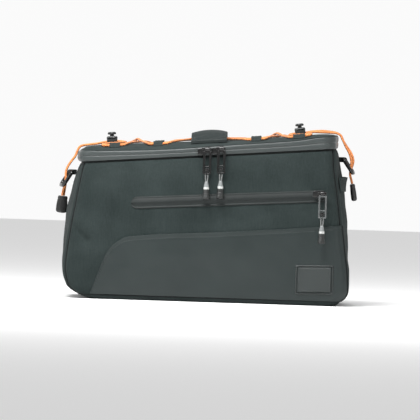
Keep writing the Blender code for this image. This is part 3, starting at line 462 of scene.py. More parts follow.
def rim_inset(x, y):
    """How far a place on the lid lies inside its rounded outline."""
    left, right, half, face_bow, end_bow = level(1.0)
    share = (x - left - CORNER) / (right - left - 2 * CORNER)
    side = half + face_bow * max(0.0, 1 - (2 * share - 1) ** 2) - abs(y)
    run = y / (half - CORNER)
    bow = end_bow * max(0.0, 1 - run**2)
    tip = min(right + bow - x, x - left + bow)
    if side < CORNER and tip < CORNER:
        return CORNER - hypot(CORNER - side, CORNER - tip)
    return min(side, tip)


def lid_z(x, y):
    low = crease(x) + GAP
    return rim_z(x) + low + curve(LID_DOME, max(0.0, rim_inset(x, y))) * (crown(x) - crease(x))


print("rim heights at the two ends:", [round(rim_z(s * LENGTH / 2), 4) for s in (-1, 1)])

# %% [markdown]
# ## Meshes from grids
# A cloth piece here is a grid of points for its outer face and one for its inner face, joined at
# the edges. The UV map holds lengths in metres along the rows and columns, for the weave to follow.


# %% Mesh helpers
def put(name, mesh, finishes, body="bag", nodes=(), sharp=40):
    """Makes the object of a mesh, puts it under its body and hides the nodes that it stands for."""
    for finish in finishes:
        mesh.materials.append(finish)
    mesh.shade_smooth()
    mesh.set_sharp_from_angle(angle=radians(sharp))
    obj = bpy.data.objects.new(name, mesh)
    bpy.context.scene.collection.objects.link(obj)
    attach(obj, body)
    if nodes:
        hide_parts(*nodes)
    return obj


def lengths(points):
    """How far along a line each of its points lies."""
    total, found = 0.0, [0.0]
    for a, b in zip(points, points[1:]):
        total += (b - a).length
        found.append(total)
    return found


# %% Cloth between two grids
def settled(bm, name):
    """The mesh of a bmesh, with its faces turned outwards."""
    bmesh.ops.recalc_face_normals(bm, faces=bm.faces)
    mesh = bpy.data.meshes.new(name)
    bm.to_mesh(mesh)
    bm.free()
    return mesh


def grids(rows, columns, place):
    """An outer and an inner grid, from a function that gives both points of a row and a column."""
    pairs = [[place(row, column) for column in columns] for row in rows]
    return [[[pair[side] for pair in row] for row in pairs] for side in (0, 1)]


def cloth(name, sides, finish, nodes=(), closed=False, sharp=40):
    """A wall between two grids of points, with a UV map in metres."""
    bm = bmesh.new()
    uv = bm.loops.layers.uv.new("UVMap")
    rows, columns = len(sides[0]), len(sides[0][0])
    middle = sides[0][rows // 2]
    along = lengths(middle + [middle[0]] if closed else middle)
    down = lengths([row[columns // 2] for row in sides[0]])
    a, b = ([[bm.verts.new(p) for p in row] for row in grid] for grid in sides)
    pairs = [(j, (j + 1) % columns) for j in range(columns if closed else columns - 1)]

    def quad(corners, u_low, u_high, v_low, v_high):
        made = bm.faces.new(corners)
        marks = ((u_low, v_low), (u_high, v_low), (u_high, v_high), (u_low, v_high))
        for loop, mark in zip(made.loops, marks):
            loop[uv].uv = mark

    for grid in (a, b):
        for i in range(rows - 1):
            for j, k in pairs:
                corners = (grid[i][j], grid[i][k], grid[i + 1][k], grid[i + 1][j])
                quad(corners, along[j], along[j + 1], down[i], down[i + 1])
    for i, wide in ((0, WALL), (rows - 1, -WALL)):
        for j, k in pairs:
            corners = (a[i][j], a[i][k], b[i][k], b[i][j])
            quad(corners, along[j], along[j + 1], down[i], down[i] + wide)
    if not closed:
        for j in (0, columns - 1):
            for i in range(rows - 1):
                corners = (a[i][j], b[i][j], b[i + 1][j], a[i + 1][j])
                quad(corners, along[j], along[j] + WALL, down[i], down[i + 1])
    return put(name, settled(bm, name), [finish], nodes=nodes, sharp=sharp)


# %% Rings and tubes
def skin_rings(bm, rings):
    """Joins rings of vertices, each to the next, and closes both ends."""
    for low, high in zip(rings, rings[1:]):
        for k in range(len(low)):
            j = (k + 1) % len(low)
            bm.faces.new((low[k], low[j], high[j], high[k]))
    bm.faces.new(rings[0])
    bm.faces.new(rings[-1])


def spline(points, spacing):
    """Points close together on a smooth curve through the given ones."""
    found = []
    for i, (b, c) in enumerate(zip(points, points[1:])):
        a = points[i - 1] if i > 0 else 2 * b - c
        d = points[i + 2] if i + 2 < len(points) else 2 * c - b
        for s in steps(0.0, 1.0, max(1, round((c - b).length / spacing)))[:-1]:
            square = (2 * a - 5 * b + 4 * c - d) * s**2
            found.append(0.5 * (2 * b + (c - a) * s + square + (3 * b - a - 3 * c + d) * s**3))
    return [*found, points[-1]]


def tube_into(bm, line, radius, sides, closed=False):
    """Adds a tube round a line to a mesh. The UV map holds turns round it and metres along it."""
    uv = bm.loops.layers.uv.verify()
    count = len(line)
    along = lengths(line + [line[0]] if closed else line)
    normal = None
    rings = []
    for i, point in enumerate(line):
        back = line[i - 1] if closed or i > 0 else point
        ahead = line[(i + 1) % count] if closed or i + 1 < count else point
        tangent = (ahead - back).normalized()
        if normal is None:
            normal = tangent.cross(Vector((0.13, 1.0, 0.31))).normalized()
        normal = (normal - tangent * normal.dot(tangent)).normalized()
        side = tangent.cross(normal)
        turns = [TURN * k / sides for k in range(sides)]
        rings.append([bm.verts.new(point + radius * (cos(a) * normal + sin(a) * side)) for a in turns])
    for i in range(count if closed else count - 1):
        low, high = rings[i], rings[(i + 1) % count]
        for k in range(sides):
            j = (k + 1) % sides
            made = bm.faces.new((low[k], low[j], high[j], high[k]))
            for loop, (du, dv) in zip(made.loops, ((0, 0), (1, 0), (1, 1), (0, 1))):
                loop[uv].uv = ((k + du) / sides, along[i + dv])
    if not closed:
        bm.faces.new(rings[0])
        bm.faces.new(rings[-1])


def tubes(lines, radius, sides, closed=False):
    bm = bmesh.new()
    for line in lines:
        tube_into(bm, line, radius, sides, closed)
    return bm


def tube(name, lines, radius, sides, finish, nodes=(), closed=False):
    mesh = settled(tubes(lines, radius, sides, closed), name)
    return put(name, mesh, [finish], nodes=nodes, sharp=60)


# %% [markdown]
# ## The elastic
# Two strands of 3 mm elastic run from a grip at the short end, over the lid in two crossings, and
# down to a grip at the tall end. The route is the model's own, and a smooth curve through it gives
# a tube with a braid that follows its length. It is held taut, so it doesn't hang or coil.

# %% Elastic strands
CORD_RADIUS = 1.5 * MM
CORD_ROUTE = (
    # x, y, z in mm, then for some rows how far the strands spread and how much the back one lifts
    (-184.3, -1.9, 126.3, 0.9, 0.0), (-183.8, -1.9, 130.5, 0.9, 0.0),
    (-181.8, -1.9, 142.0, 0.3, 0.0), (-181.4, -1.9, 148.5), (-181.6, -1.9, 155.0),
    (-180.2, -1.9, 161.5), (-176.0, -1.9, 169.0), (-170.6, -1.9, 176.5), (-168.0, -1.9, 183.0),
    (-165.4, -1.9, 188.2), (-160.5, -1.9, 190.6), (-144.0, -1.9, 193.2), (-138.0, -1.9, 194.6),
    (-131.8, -1.9, 195.8), (-124.3, -1.9, 196.5), (-116.8, -1.9, 197.2), (-110.8, -5.0, 197.0),
    (-107.6, -14.0, 196.4), (-110.0, -27.0, 196.1), (-128.0, -62.0, 194.2), (-134.6, -75.5, 193.0),
    (-134.0, -82.0, 192.2), (-130.0, -84.6, 191.9), (-110.0, -84.2, 193.5), (-106.0, -79.0, 194.6),
    (-101.5, -60.0, 196.2), (-96.7, -30.0, 197.0, 0.0, 1.4), (-92.0, 0.0, 197.2, 0.0, 3.6),
    (-87.3, 30.0, 197.5, 0.0, 1.4), (-82.5, 60.0, 197.4), (-78.0, 79.0, 196.4),
    (-74.5, 84.2, 195.7), (-56.0, 84.3, 197.0), (-50.0, 78.0, 198.6), (-44.0, 62.0, 200.1),
    (-28.0, 32.0, 201.7, 0.0, 0.7), (-4.0, 0.0, 202.7, 0.0, 3.4), (20.0, -32.0, 204.4, 0.0, 0.7),
    (36.0, -62.0, 205.4), (42.0, -78.0, 205.4), (48.0, -84.2, 205.1), (66.5, -84.2, 206.9),
    (71.0, -78.0, 208.0), (76.0, -50.0, 209.5), (83.5, 0.0, 210.0, 0.0, 3.6), (91.0, 50.0, 210.8),
    (96.5, 78.0, 210.3), (100.8, 84.2, 210.0), (121.5, 84.0, 212.9), (126.0, 77.0, 214.4),
    (124.5, 64.0, 214.6), (115.5, 44.0, 213.4), (104.0, 27.0, 212.2), (99.2, 13.0, 212.0),
    (100.8, 5.0, 212.9), (105.0, 1.9, 213.8), (112.5, 1.9, 214.7), (120.6, 1.9, 215.8),
    (128.0, 1.9, 217.4, 0.0, -0.6), (140.0, 1.9, 218.4, 0.0, -1.6), (150.0, 1.9, 217.8, 0.0, -1.2),
    (158.0, 1.9, 216.6, 0.0, -0.4), (163.6, 1.9, 213.6), (166.4, 1.9, 208.0, 0.0, 0.4),
    (171.0, 1.9, 200.0, -0.6, 0.0), (176.4, 1.9, 191.5, -1.2, 0.0), (179.2, 1.9, 183.0, -1.4, 0.0),
    (178.9, 1.9, 176.0, -0.8, 0.0), (177.6, 1.9, 170.5), (177.1, 1.9, 164.5), (178.6, 1.9, 158.5),
    (180.2, 1.9, 152.9),
)


# %% The two strands
def strand_line(side):
    back = side < 0
    points = []
    for x, y, z, spread, lift in ((*row, 0.0, 0.0)[:5] for row in CORD_ROUTE):
        points.append(Vector((x - side * spread, side * y, z + lift * back)) * MM)
    return spline(points, 1.6 * MM)


for side, node in ((1, "elastic_front"), (-1, "elastic_back")):
    line = strand_line(side)
    strand = tube(f"{node}_braid", [line], CORD_RADIUS, 12, ELASTIC, (node,))
    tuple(line[0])
    lengths(line)[-1]
    print(node, "is", round(lengths(line)[-1], 3), "m long")

# %% [markdown]
# ## The padded walls
# Each wall is a padded panel sewn to its neighbours, so its face dips into a seam at every edge.
# The dip, the soft folds and a slow unevenness are all one number: how far a point stands proud.
# Folds are rows of a table, from one end to the other, with a width and a depth.

# %% Folds and seam dips
SEAM_DIP = 1.5 * MM
SEAM_SOFT = 3.2 * MM
FRONT_FOLDS = (
    # x1, z1, x2, z2 in mm, half width, height
    (-171.0, 92.0, -151.0, 73.0, 3.8, -3.2),
    (-160.0, 96.0, -146.0, 84.0, 7.0, 1.6),
    (-138.0, 112.0, -132.0, 60.0, 11.0, 1.7),
    (-116.0, 104.0, -108.0, 52.0, 12.0, -1.2),
    (-160.0, 128.0, -120.0, 138.0, 12.0, 0.9),
    (-40.0, 172.0, 60.0, 160.0, 9.0, 0.7),
    (96.0, 176.0, 150.0, 150.0, 9.0, 0.8),
    (-150.0, 158.0, -60.0, 150.0, 8.0, 0.7),
    (-60.0, 96.0, 40.0, 108.0, 9.0, -0.7),
    (60.0, 112.0, 150.0, 122.0, 7.0, -0.6),
)
BACK_FOLDS = (
    (-150.0, 120.0, -40.0, 96.0, 14.0, 1.4),
    (20.0, 80.0, 130.0, 104.0, 15.0, -1.3),
    (-70.0, 40.0, 60.0, 52.0, 13.0, 1.1),
    (60.0, 160.0, 150.0, 140.0, 10.0, 0.9),
)
END_FOLDS = (
    # here the first and third columns run across the end
    (-70.0, 120.0, 60.0, 96.0, 12.0, 1.3),
    (-40.0, 60.0, 70.0, 44.0, 13.0, -1.1),
    (-60.0, 30.0, -20.0, 84.0, 11.0, 0.8),
)


def fold_height(table, across, up):
    """The sum of all folds at a place, each one fading past its ends."""
    total = 0.0
    for x1, z1, x2, z2, width, height in table:
        run = Vector(((x2 - x1), (z2 - z1))) * MM
        off = Vector((across - x1 * MM, up - z1 * MM))
        share = clamped(off.dot(run) / run.length_squared)
        far = (off - run * share).length
        total += height * MM * bell(far, width * MM)
    return total


def uneven(point, size, height):
    """A slow, smooth unevenness that is the same on each run."""
    return height * noise.noise(point / size)


def dip(far):
    return -SEAM_DIP * bell(far, SEAM_SOFT)


# %% [markdown]
# ## The walls, the base and the painted shade in the seams
# The four walls share one function. It measures each point's way to the nearest seam along its row,
# which is what makes the padding pull in beside the stitching.


# %% Padded walls
WALL_ROWS = 74
SEAM_REACH = 12 * MM  # nearer than this to a side seam, folds are held back
COARSE_SIZE, COARSE_HEIGHT = 45 * MM, 1.1 * MM
FINE_SIZE, FINE_HEIGHT = 17 * MM, 0.28 * MM


def softness(flat):
    """The slow unevenness of a padded wall, in two sizes."""
    coarse = uneven(flat + Vector((0.3, 0.1, 0)), COARSE_SIZE, COARSE_HEIGHT)
    return coarse + uneven(flat, FINE_SIZE, FINE_HEIGHT)


def wall(name, stations, folds, along_x, node):
    middle = lengths([skin(s, 0.5) for s in stations])

    def place(t, column):
        station, along = column
        flat = skin(station, t)
        side = min(along, middle[-1] - along)
        tall = rim_z(flat.x)
        out = dip(side) + 0.6 * dip((1 - t) * tall) + 0.5 * dip((t - HEM) * tall)
        spread = 1 - bell(side, SEAM_REACH)
        out += spread * fold_height(folds, flat.x if along_x else flat.y, flat.z)
        out += spread * softness(flat)
        return skin(station, t, out), skin(station, t, out - WALL)

    shape = grids(steps(HEM, 1.0, WALL_ROWS), list(zip(stations, middle)), place)
    cloth(name, shape, CLOTH, (node,))


SEAM_TRIM = GAP / CORNER * 180 / pi
EDGE = SEAM_ANGLE - SEAM_TRIM


def face_stations(sy):
    return corner(-1, sy, EDGE, 0)[:-1] + face(sy) + corner(1, sy, 0, EDGE)[1:]


def end_stations(sx):
    start = SEAM_ANGLE + SEAM_TRIM
    return corner(sx, -1, start, 90, 8)[:-1] + end(sx) + corner(sx, 1, 90, start, 8)[1:]


wall("front_wall", face_stations(-1), FRONT_FOLDS, True, "front_panel")
wall("back_wall", face_stations(1), BACK_FOLDS, True, "back_panel")
wall("left_wall", end_stations(-1), END_FOLDS, False, "left_gusset")
wall("right_wall", end_stations(1), END_FOLDS, False, "right_gusset")


def full_ring():
    """Stations round the whole bag, from the front's left end, each one once."""
    stations = face(-1)[:-1] + corner(1, -1, 0, 90)[:-1] + end(1)[:-1] + corner(1, 1, 90, 0)[:-1]
    stations += face(1)[::-1][:-1] + corner(-1, 1, 0, 90)[:-1]
    return stations + end(-1)[::-1][:-1] + corner(-1, -1, 90, 0)[:-1]


# %% Base, and the painted shade in the seams
RING = full_ring()
HEM_DIP, HEM_DIP_WIDTH = 0.5 * MM, 1.2 * MM


def base():
    """The flat base and its low turned-up edge, as one cloth shell."""
    bm = bmesh.new()
    uv = bm.loops.layers.uv.new("UVMap")
    lines = []
    for t in steps(0.0, HEM, 6):
        sunk = HEM_DIP * bell((HEM - t) * RIM_HEIGHT, HEM_DIP_WIDTH)
        lines.append([skin(s, t, -sunk) for s in RING])
    lines.append([skin(s, HEM, -WALL) for s in RING])
    lines.append([(*plan(s, HEM, -WALL - GAP), WALL) for s in RING])
    skin_rings(bm, [[bm.verts.new(p) for p in line] for line in lines])
    for made in bm.faces:
        flat = abs(made.normal.z) > 0.7
        for loop in made.loops:
            at = loop.vert.co
            loop[uv].uv = (at.x, at.y) if flat else (at.x + at.y, at.z)
    mesh = settled(bm, "base_cloth")
    put("base_cloth", mesh, [HEM_CLOTH], nodes=("base_tray",))


base()

# The seams are grooves with no piping. The black tubes sunk in them are painted shade: the shade that
# falls in the grooves.
SEAM_SHADE_RADIUS = 1.1 * MM
SEAM_SHADE_SUNK = 1.5 * MM
HEM_SUNK = 1.2 * MM
seam_shade_lines = []
for sx in (-1, 1):
    for sy in (-1, 1):
        station = ("corner", sx, sy, SEAM_ANGLE)
        seam_shade_lines.append([skin(station, t, -SEAM_SHADE_SUNK) for t in steps(HEM, 0.997, 60)])
tube("corner_seam_shade", seam_shade_lines, SEAM_SHADE_RADIUS, 8, DARK_WEBBING_AND_SEAM_SHADE)
hem_line = [skin(s, HEM + 0.001, -HEM_SUNK) for s in RING]
tube("hem_seam_shade", [hem_line], SEAM_SHADE_RADIUS, 8, DARK_WEBBING_AND_SEAM_SHADE, closed=True)
print("walls, base and welts made")

# %% [markdown]
# ## The lid
# The lid's outline is a rounded rectangle with four bowed sides. A Coons patch fills such an outline
# with an even grid: it blends the two long sides, adds the blend of the two short ones, and takes
# away what was counted twice. The height then comes from how far in from the edge a point lies.


# %% Lid
def resampled(points, count):
    """The same line with its points evenly spaced."""
    along = lengths(points)
    found = []
    i = 0
    for target in steps(0.0, along[-1], count):
        while i < len(along) - 2 and along[i + 1] < target:
            i += 1
        share = (target - along[i]) / (along[i + 1] - along[i])
        found.append(points[i].lerp(points[i + 1], clamped(share)))
    return found


def rim_line(stations, count):
    """The lid's outline along some stations, as evenly spaced points."""
    return resampled([Vector((*plan(s, 1.0, -0.2 * MM), 0.0)) for s in stations], count)


# %% The lid's grid
LID_LONG = 150
LID_SHORT = 88
LID_FOLDS = (
    (-150.0, 40.0, -110.0, 70.0, 9.0, 0.8),
    (-60.0, -80.0, -10.0, -60.0, 7.0, 0.7),
    (40.0, -84.0, 100.0, -66.0, 7.0, 0.8),
    (120.0, 30.0, 150.0, 70.0, 10.0, -0.8),
    (-120.0, -70.0, -80.0, -84.0, 6.0, -0.7),
    (60.0, 60.0, 110.0, 82.0, 8.0, 0.7),
)
LID_CREASES = ((3.4 * MM, 0.45 * MM), (8.5 * MM, 0.40 * MM))  # each an inset and a depth
CREASE_WIDTH = 1.1 * MM
LID_SOFT = 6 * MM  # how far in from the edge the folds begin
LID_EDGE_DIP, LID_EDGE_WIDTH = 0.5 * MM, 1.0 * MM
LID_THINS = 5 * MM  # within this of the edge the lid thins, down to the least
LID_LEAST = 0.6 * MM

# At the short end the padding stands higher in the front corner, in front of the elastic.
CORNER_PUFF_AT = Vector((-157 * MM, -86 * MM, 0))
CORNER_PUFF = 2.6 * MM
CORNER_PUFF_WIDTH = 17 * MM
CORNER_PUFF_EDGE = 2.5 * MM


def lid():
    front, back = (
        rim_line(corner(-1, sy, 45, 0)[:-1] + face(sy) + corner(1, sy, 0, 45)[1:], LID_LONG)
        for sy in (-1, 1)
    )
    left, right = (
        rim_line(corner(sx, -1, 45, 90)[:-1] + end(sx) + corner(sx, 1, 90, 45)[1:], LID_SHORT)
        for sx in (-1, 1)
    )

    def place(i, j):
        u, v = j / LID_LONG, i / LID_SHORT
        at = (1 - v) * front[j] + v * back[j] + (1 - u) * left[i] + u * right[i]
        at -= (1 - v) * ((1 - u) * front[0] + u * front[-1])
        at -= v * ((1 - u) * back[0] + u * back[-1])
        inset = max(0.0, rim_inset(at.x, at.y))
        height = lid_z(at.x, at.y)
        inside = 1 - bell(inset, LID_SOFT)
        height += inside * fold_height(LID_FOLDS, at.x, at.y)
        puff = CORNER_PUFF * bell((at - CORNER_PUFF_AT).xy.length, CORNER_PUFF_WIDTH)
        height += (1 - bell(inset, CORNER_PUFF_EDGE)) * puff
        height += inside * uneven(at + Vector((0, 0, 0.2)), 40 * MM, 0.8 * MM)
        wander = uneven(at, 60 * MM, 2.0 * MM)
        for far, depth in LID_CREASES:
            height -= depth * bell(inset - far - wander, CREASE_WIDTH)
        height -= LID_EDGE_DIP * bell(inset, LID_EDGE_WIDTH)
        thick = LID_WALL * min(1.0, inset / LID_THINS) + LID_LEAST
        inner = Vector((at.x * 0.99, at.y * 0.985, height - thick))
        return Vector((at.x, at.y, height)), inner

    shape = grids(range(LID_SHORT + 1), range(LID_LONG + 1), place)
    cloth("lid_cover", shape, LID_CLOTH, ("lid_top",))


lid()
# A black tube sunk in the lid's crease is painted shade: the shade that falls in the crease.
crease_line = [over_rim(s, lambda x: crease(x) + 0.1 * MM, -1.0 * MM) for s in RING]
tube("crease_seam_shade", [crease_line], 0.7 * MM, 8, DARK_WEBBING_AND_SEAM_SHADE, closed=True)
print("lid made")

# %% [markdown]
# ## The zip band, its hinge and the seam under it
# The main zip is the kind whose tape is coated, so that the teeth don't show: two smooth lips that
# meet in a fold at mid height. A row of shares and swells gives that section, and the same rows in
# woven cloth make the hinge at the back.

# %% Band round the rim
BAND_SECTION = (
    # share of the height, swell
    (0.00, -0.5),
    (0.06, 0.2),
    (0.16, 0.75),
    (0.28, 1.0),
    (0.40, 0.75),
    (0.47, 0.15),
    (0.50, -0.45),
    (0.53, 0.25),
    (0.62, 0.95),
    (0.74, 1.15),
    (0.86, 0.8),
    (0.95, 0.1),
    (1.00, -0.6),
)
BAND_PROUD = 0.5 * MM
BAND_LONG_RIPPLE = (26 * MM, 0.35 * MM)  # size and height
BAND_SHORT_RIPPLE = (9 * MM, 0.10 * MM)
END_SWELL = 3.0 * MM
SWELL_FROM_X, SWELL_OVER_X = -148 * MM, 14 * MM
SWELL_FROM_Y, SWELL_OVER_Y = 70 * MM, 40 * MM


# %% Zip band, hinge and binding
def end_swell(at, share):
    """The band bulges round the short end, where its two runs are folded into each other."""
    along = clamped((SWELL_FROM_X - at.x) / SWELL_OVER_X)
    back = clamped((SWELL_FROM_Y - at.y) / SWELL_OVER_Y)
    return END_SWELL * along * back * (1 - (2 * share - 1) ** 2) ** 0.7


def band(name, stations, finish, node):
    def place(share, station):
        def height(x):
            return SEAM_HEIGHT + (crease(x) - SEAM_HEIGHT) * share

        flat = over_rim(station, height)
        ripple = uneven(flat + Vector((0, 0, 0.5)), *BAND_LONG_RIPPLE)
        ripple += uneven(flat, *BAND_SHORT_RIPPLE)
        out = BAND_PROUD * curve(BAND_SECTION, share) + ripple * (4 * share * (1 - share))
        out += end_swell(flat, share)
        return over_rim(station, height, out), over_rim(station, height, -BAND_THICK)

    cloth(name, grids(steps(0.0, 1.0, 36), stations, place), finish, (node,), sharp=70)


zip_run = corner(-1, 1, SEAM_ANGLE + SEAM_TRIM, 90, 6)[:-1] + end(-1)[::-1][:-1]
zip_run += corner(-1, -1, 90, 0)[:-1] + face(-1, 170)[:-1] + corner(1, -1, 0, 90)[:-1]
zip_run += end(1)[:-1] + corner(1, 1, 90, SEAM_ANGLE + SEAM_TRIM, 6)
band("zip_tape", zip_run, ZIP_FILM, "zip_band")
band("hinge_cloth", face_stations(1), CLOTH, "lid_hinge")

BINDING_THICK = 1.4 * MM


def binding(share, station):
    def height(x):
        return GAP + (SEAM_HEIGHT - 2 * GAP) * share

    depths = (-SEAM_RECESS, -SEAM_RECESS - BINDING_THICK)
    return tuple(over_rim(station, height, out) for out in depths)


# The recessed seam strip under the band is real. Its black is painted shadow: the shadow cast by the
# band's lower lip.
shape = grids((0.0, 0.5, 1.0), RING, binding)
cloth("rim_binding", shape, DARK_WEBBING_AND_SEAM_SHADE, ("rim_seam",), closed=True)
print("band, hinge and rim seam made")

# %% [markdown]
# ## The smooth panel, the pocket's zip and the patch
# These three lie on the front wall, so all of them are laid out by where they are on it and how far
# they stand off it. The smooth panel has a folded upper edge, the pocket's zip has two lips and a
# groove, and the patch is a thin moulding with a border, a step down and a raised bare field.


# %% On the front
def front_y(x, z, out):
    """The y of the front's outer face at a place, moved outwards."""
    t = min(1.0, z / rim_z(x))
    left, right, half, face_bow, _ = level(t)
    low, high = left + CORNER, right - CORNER
    if x < low or x > high:
        reach = min(abs(x - (low if x < low else high)), CORNER * 0.999)
        return -(half - CORNER + (CORNER**2 - reach**2) ** 0.5 + out)
    bow = 1 - (2 * (x - low) / (high - low) - 1) ** 2
    return -(half + face_bow * bow + out)


def front_at(x, z, out):
    return Vector((x, front_y(x, z, out), z))


def front_relief(x, z):
    """How far the dressed front wall stands off its plain face."""
    return fold_height(FRONT_FOLDS, x, z) + softness(front_at(x, z, 0.0))


RELIEF_FLOOR = -0.6 * MM  # what lies on the wall doesn't follow a fold deeper than this
UNDERLAP = 0.4 * MM  # how far the hidden sides of such pieces lie below the surface under them

# %% Smooth panel
PANEL_HEIGHT = 101 * MM
PANEL_THICK = 1.1 * MM
PANEL_EDGE = (
    # along, height
    (-0.800, 0.055),
    (-0.745, 0.330),
    (-0.688, 0.584),
    (-0.635, 0.693),
    (-0.547, 0.782),
    (0.155, 0.881),
    (0.920, 1.000),
)
PANEL_BORDER = (
    # height, how far below the upper edge, width in mm: the turned edge, its stitch line, the lip
    (0.25, 2.2, 1.8),
    (-0.45, 5.2, 0.9),
    (-0.3, 0.0, 0.7),
)
PANEL_START = PANEL_EDGE[0][0] * LENGTH / 2
PANEL_FLAT = 120


def panel_top(x):
    return PANEL_HEIGHT * curve(PANEL_EDGE, 2 * x / LENGTH)


def panel_x(column, z):
    kind, value = column
    x = LENGTH / 2
    for _ in range(3):
        t = min(1.0, z / rim_z(x))
        if kind == "corner":
            x = plan(("corner", 1, -1, value), t, 0.0)[0]
        else:
            x = PANEL_START + (level(t)[1] - CORNER - PANEL_START) * value
    return x


def smooth_panel():
    low_z = HEM * RIM_HEIGHT + 2 * GAP
    columns = [("flat", (i / PANEL_FLAT) ** 1.35) for i in range(1, PANEL_FLAT + 1)]
    columns += [("corner", a) for a in steps(0.0, SEAM_ANGLE - 2 * SEAM_TRIM, 12)[1:]]
    under = 2 * GAP - UNDERLAP

    def place(share, column):
        kind, value = column
        top = PANEL_HEIGHT
        for _ in range(3):
            top = panel_top(panel_x(column, top))
        z = low_z + (top - low_z) * share
        x = panel_x(column, z)
        spread = 1.0 if kind == "flat" else 1 - value / SEAM_ANGLE
        out = 2 * GAP + PANEL_THICK + spread * max(front_relief(x, z), RELIEF_FLOOR)
        for rise, inset, width in PANEL_BORDER:
            out += rise * MM * bell(top - z - inset * MM, width * MM)
        if kind == "flat":
            return front_at(x, z, out), front_at(x, z, under)
        t = min(1.0, z / rim_z(x))
        return tuple(Vector((*plan(("corner", 1, -1, value), t, off), z)) for off in (out, under))

    shape = grids(steps(0.0, 1.0, 56), columns, place)
    cloth("smooth_front", shape, COATED, ("lower_front_panel",))


smooth_panel()
# A black tube along the smooth panel's side seam is painted shade: the shade that falls in that seam.
side_seam = ("corner", 1, -1, SEAM_ANGLE - SEAM_TRIM)
side_line = []
for z in steps(HEM * RIM_HEIGHT + 1 * MM, PANEL_HEIGHT, 50):
    side_line.append(Vector((*plan(side_seam, z / rim_z(LENGTH / 2), 1.7 * MM), z)))
tube("panel_side_seam_shade", [side_line], SEAM_SHADE_RADIUS, 8, DARK_WEBBING_AND_SEAM_SHADE)

# %% The pocket's zip
POCKET_LEFT = -0.533 * LENGTH / 2
POCKET_RIGHT = 0.818 * LENGTH / 2
POCKET_HEIGHT = 121 * MM
POCKET_SLOPE = 0.067
POCKET_HALF = 15.5 / 2 * MM
POCKET_FLOOR = -0.3 * MM  # the tape doesn't follow a fold deeper than this
POCKET_SECTION = (
    # across, height in mm
    (-1.00, 0.4),
    (-0.93, 1.0),
    (-0.84, 1.3),
    (-0.74, 1.0),
    (-0.66, 0.5),
    (-0.40, 0.7),
    (-0.08, 1.8),
    (0.00, 2.1),
    (0.08, 2.2),
    (0.40, 1.8),
    (0.72, 1.0),
    (0.90, 0.8),
    (1.00, 0.3),
)


def pocket_line(x):
    return POCKET_HEIGHT + POCKET_SLOPE * (x - POCKET_LEFT)


def pocket():
    """A coated zip with round ends: a lower lip, a recess, and two slopes that meet in a ridge."""
    ends = [POCKET_HALF * (1 - cos(radians(a))) for a in steps(6.0, 90.0, 10)]
    columns = [POCKET_LEFT + e for e in ends]
    columns += steps(POCKET_LEFT + POCKET_HALF, POCKET_RIGHT - POCKET_HALF, 110)[1:-1]
    columns += [POCKET_RIGHT - e for e in ends[::-1]]

    def place(across, x):
        near = min(x - POCKET_LEFT, POCKET_RIGHT - x)
        half = POCKET_HALF if near >= POCKET_HALF else (near * (2 * POCKET_HALF - near)) ** 0.5
        z = pocket_line(x) + across * half
        share = min(1.0, near / (1.2 * POCKET_HALF))
        out = max(front_relief(x, z), POCKET_FLOOR)
        out += curve(POCKET_SECTION, across) * MM * (0.45 + 0.55 * share)
        out += uneven(Vector((x, 0, z)), 14 * MM, 0.18 * MM)
        return front_at(x, z, out), front_at(x, z, -UNDERLAP)

    shape = grids(steps(-1.0, 1.0, 44), columns, place)
    cloth("pocket_tape", shape, POCKET_FILM, ("pocket_zip",), sharp=70)


pocket()

# %% The bare patch
PATCH_WIDTH = 47.8 * MM
PATCH_HEIGHT = 36.9 * MM
PATCH_CENTRE = (0.749 * LENGTH / 2, 32.4 * MM)
PATCH_SLOPE = 0.025
PATCH_SECTION = (
    # mm in from the edge, height in mm
    (0.0, 0.0),
    (0.4, 1.0),
    (0.9, 1.25),
    (1.6, 1.25),
    (2.0, 0.0),
    (2.8, 0.0),
    (3.2, 1.5),
    (3.7, 2.0),
    (4.6, 2.0),
    (5.2, 1.7),
    (9.0, 1.7),
)
PATCH_CORNER = 3.0 * MM
PATCH_PROUD = 0.12 * MM
PATCH_SUNK = 0.6 * MM  # how far its underside lies in the panel


def patch():
    under = 2 * GAP + PANEL_THICK

    def place(v, u):
        # Near a corner the inset is measured from a round, so each border's corners are rounded.
        x_in = (1 - abs(u)) * PATCH_WIDTH / 2
        z_in = (1 - abs(v)) * PATCH_HEIGHT / 2
        inset = min(x_in, z_in)
        if x_in < PATCH_CORNER and z_in < PATCH_CORNER:
            inset = max(0.0, PATCH_CORNER - hypot(PATCH_CORNER - x_in, PATCH_CORNER - z_in))
        x = PATCH_CENTRE[0] + u * PATCH_WIDTH / 2
        z = PATCH_CENTRE[1] + v * PATCH_HEIGHT / 2 + PATCH_SLOPE * (x - PATCH_CENTRE[0])
        out = under + max(front_relief(x, z), RELIEF_FLOOR)
        out += curve(PATCH_SECTION, inset / MM) * MM + PATCH_PROUD
        return front_at(x, z, out), front_at(x, z, under - PATCH_SUNK)

    shape = grids(steps(-1.0, 1.0, 74), steps(-1.0, 1.0, 96), place)
    cloth("bare_patch", shape, RUBBER, ("rubber_patch",), sharp=70)


patch()
print("front pieces made")

# %% [markdown]
# ## The carry strap, the sleeves and the end flap
# The strap is stiff webbing sewn down at both long edges of the lid and arched between them. Short
# tunnels of webbing beside it guide the elastic, and a strip of cloth gapes across the tall end.

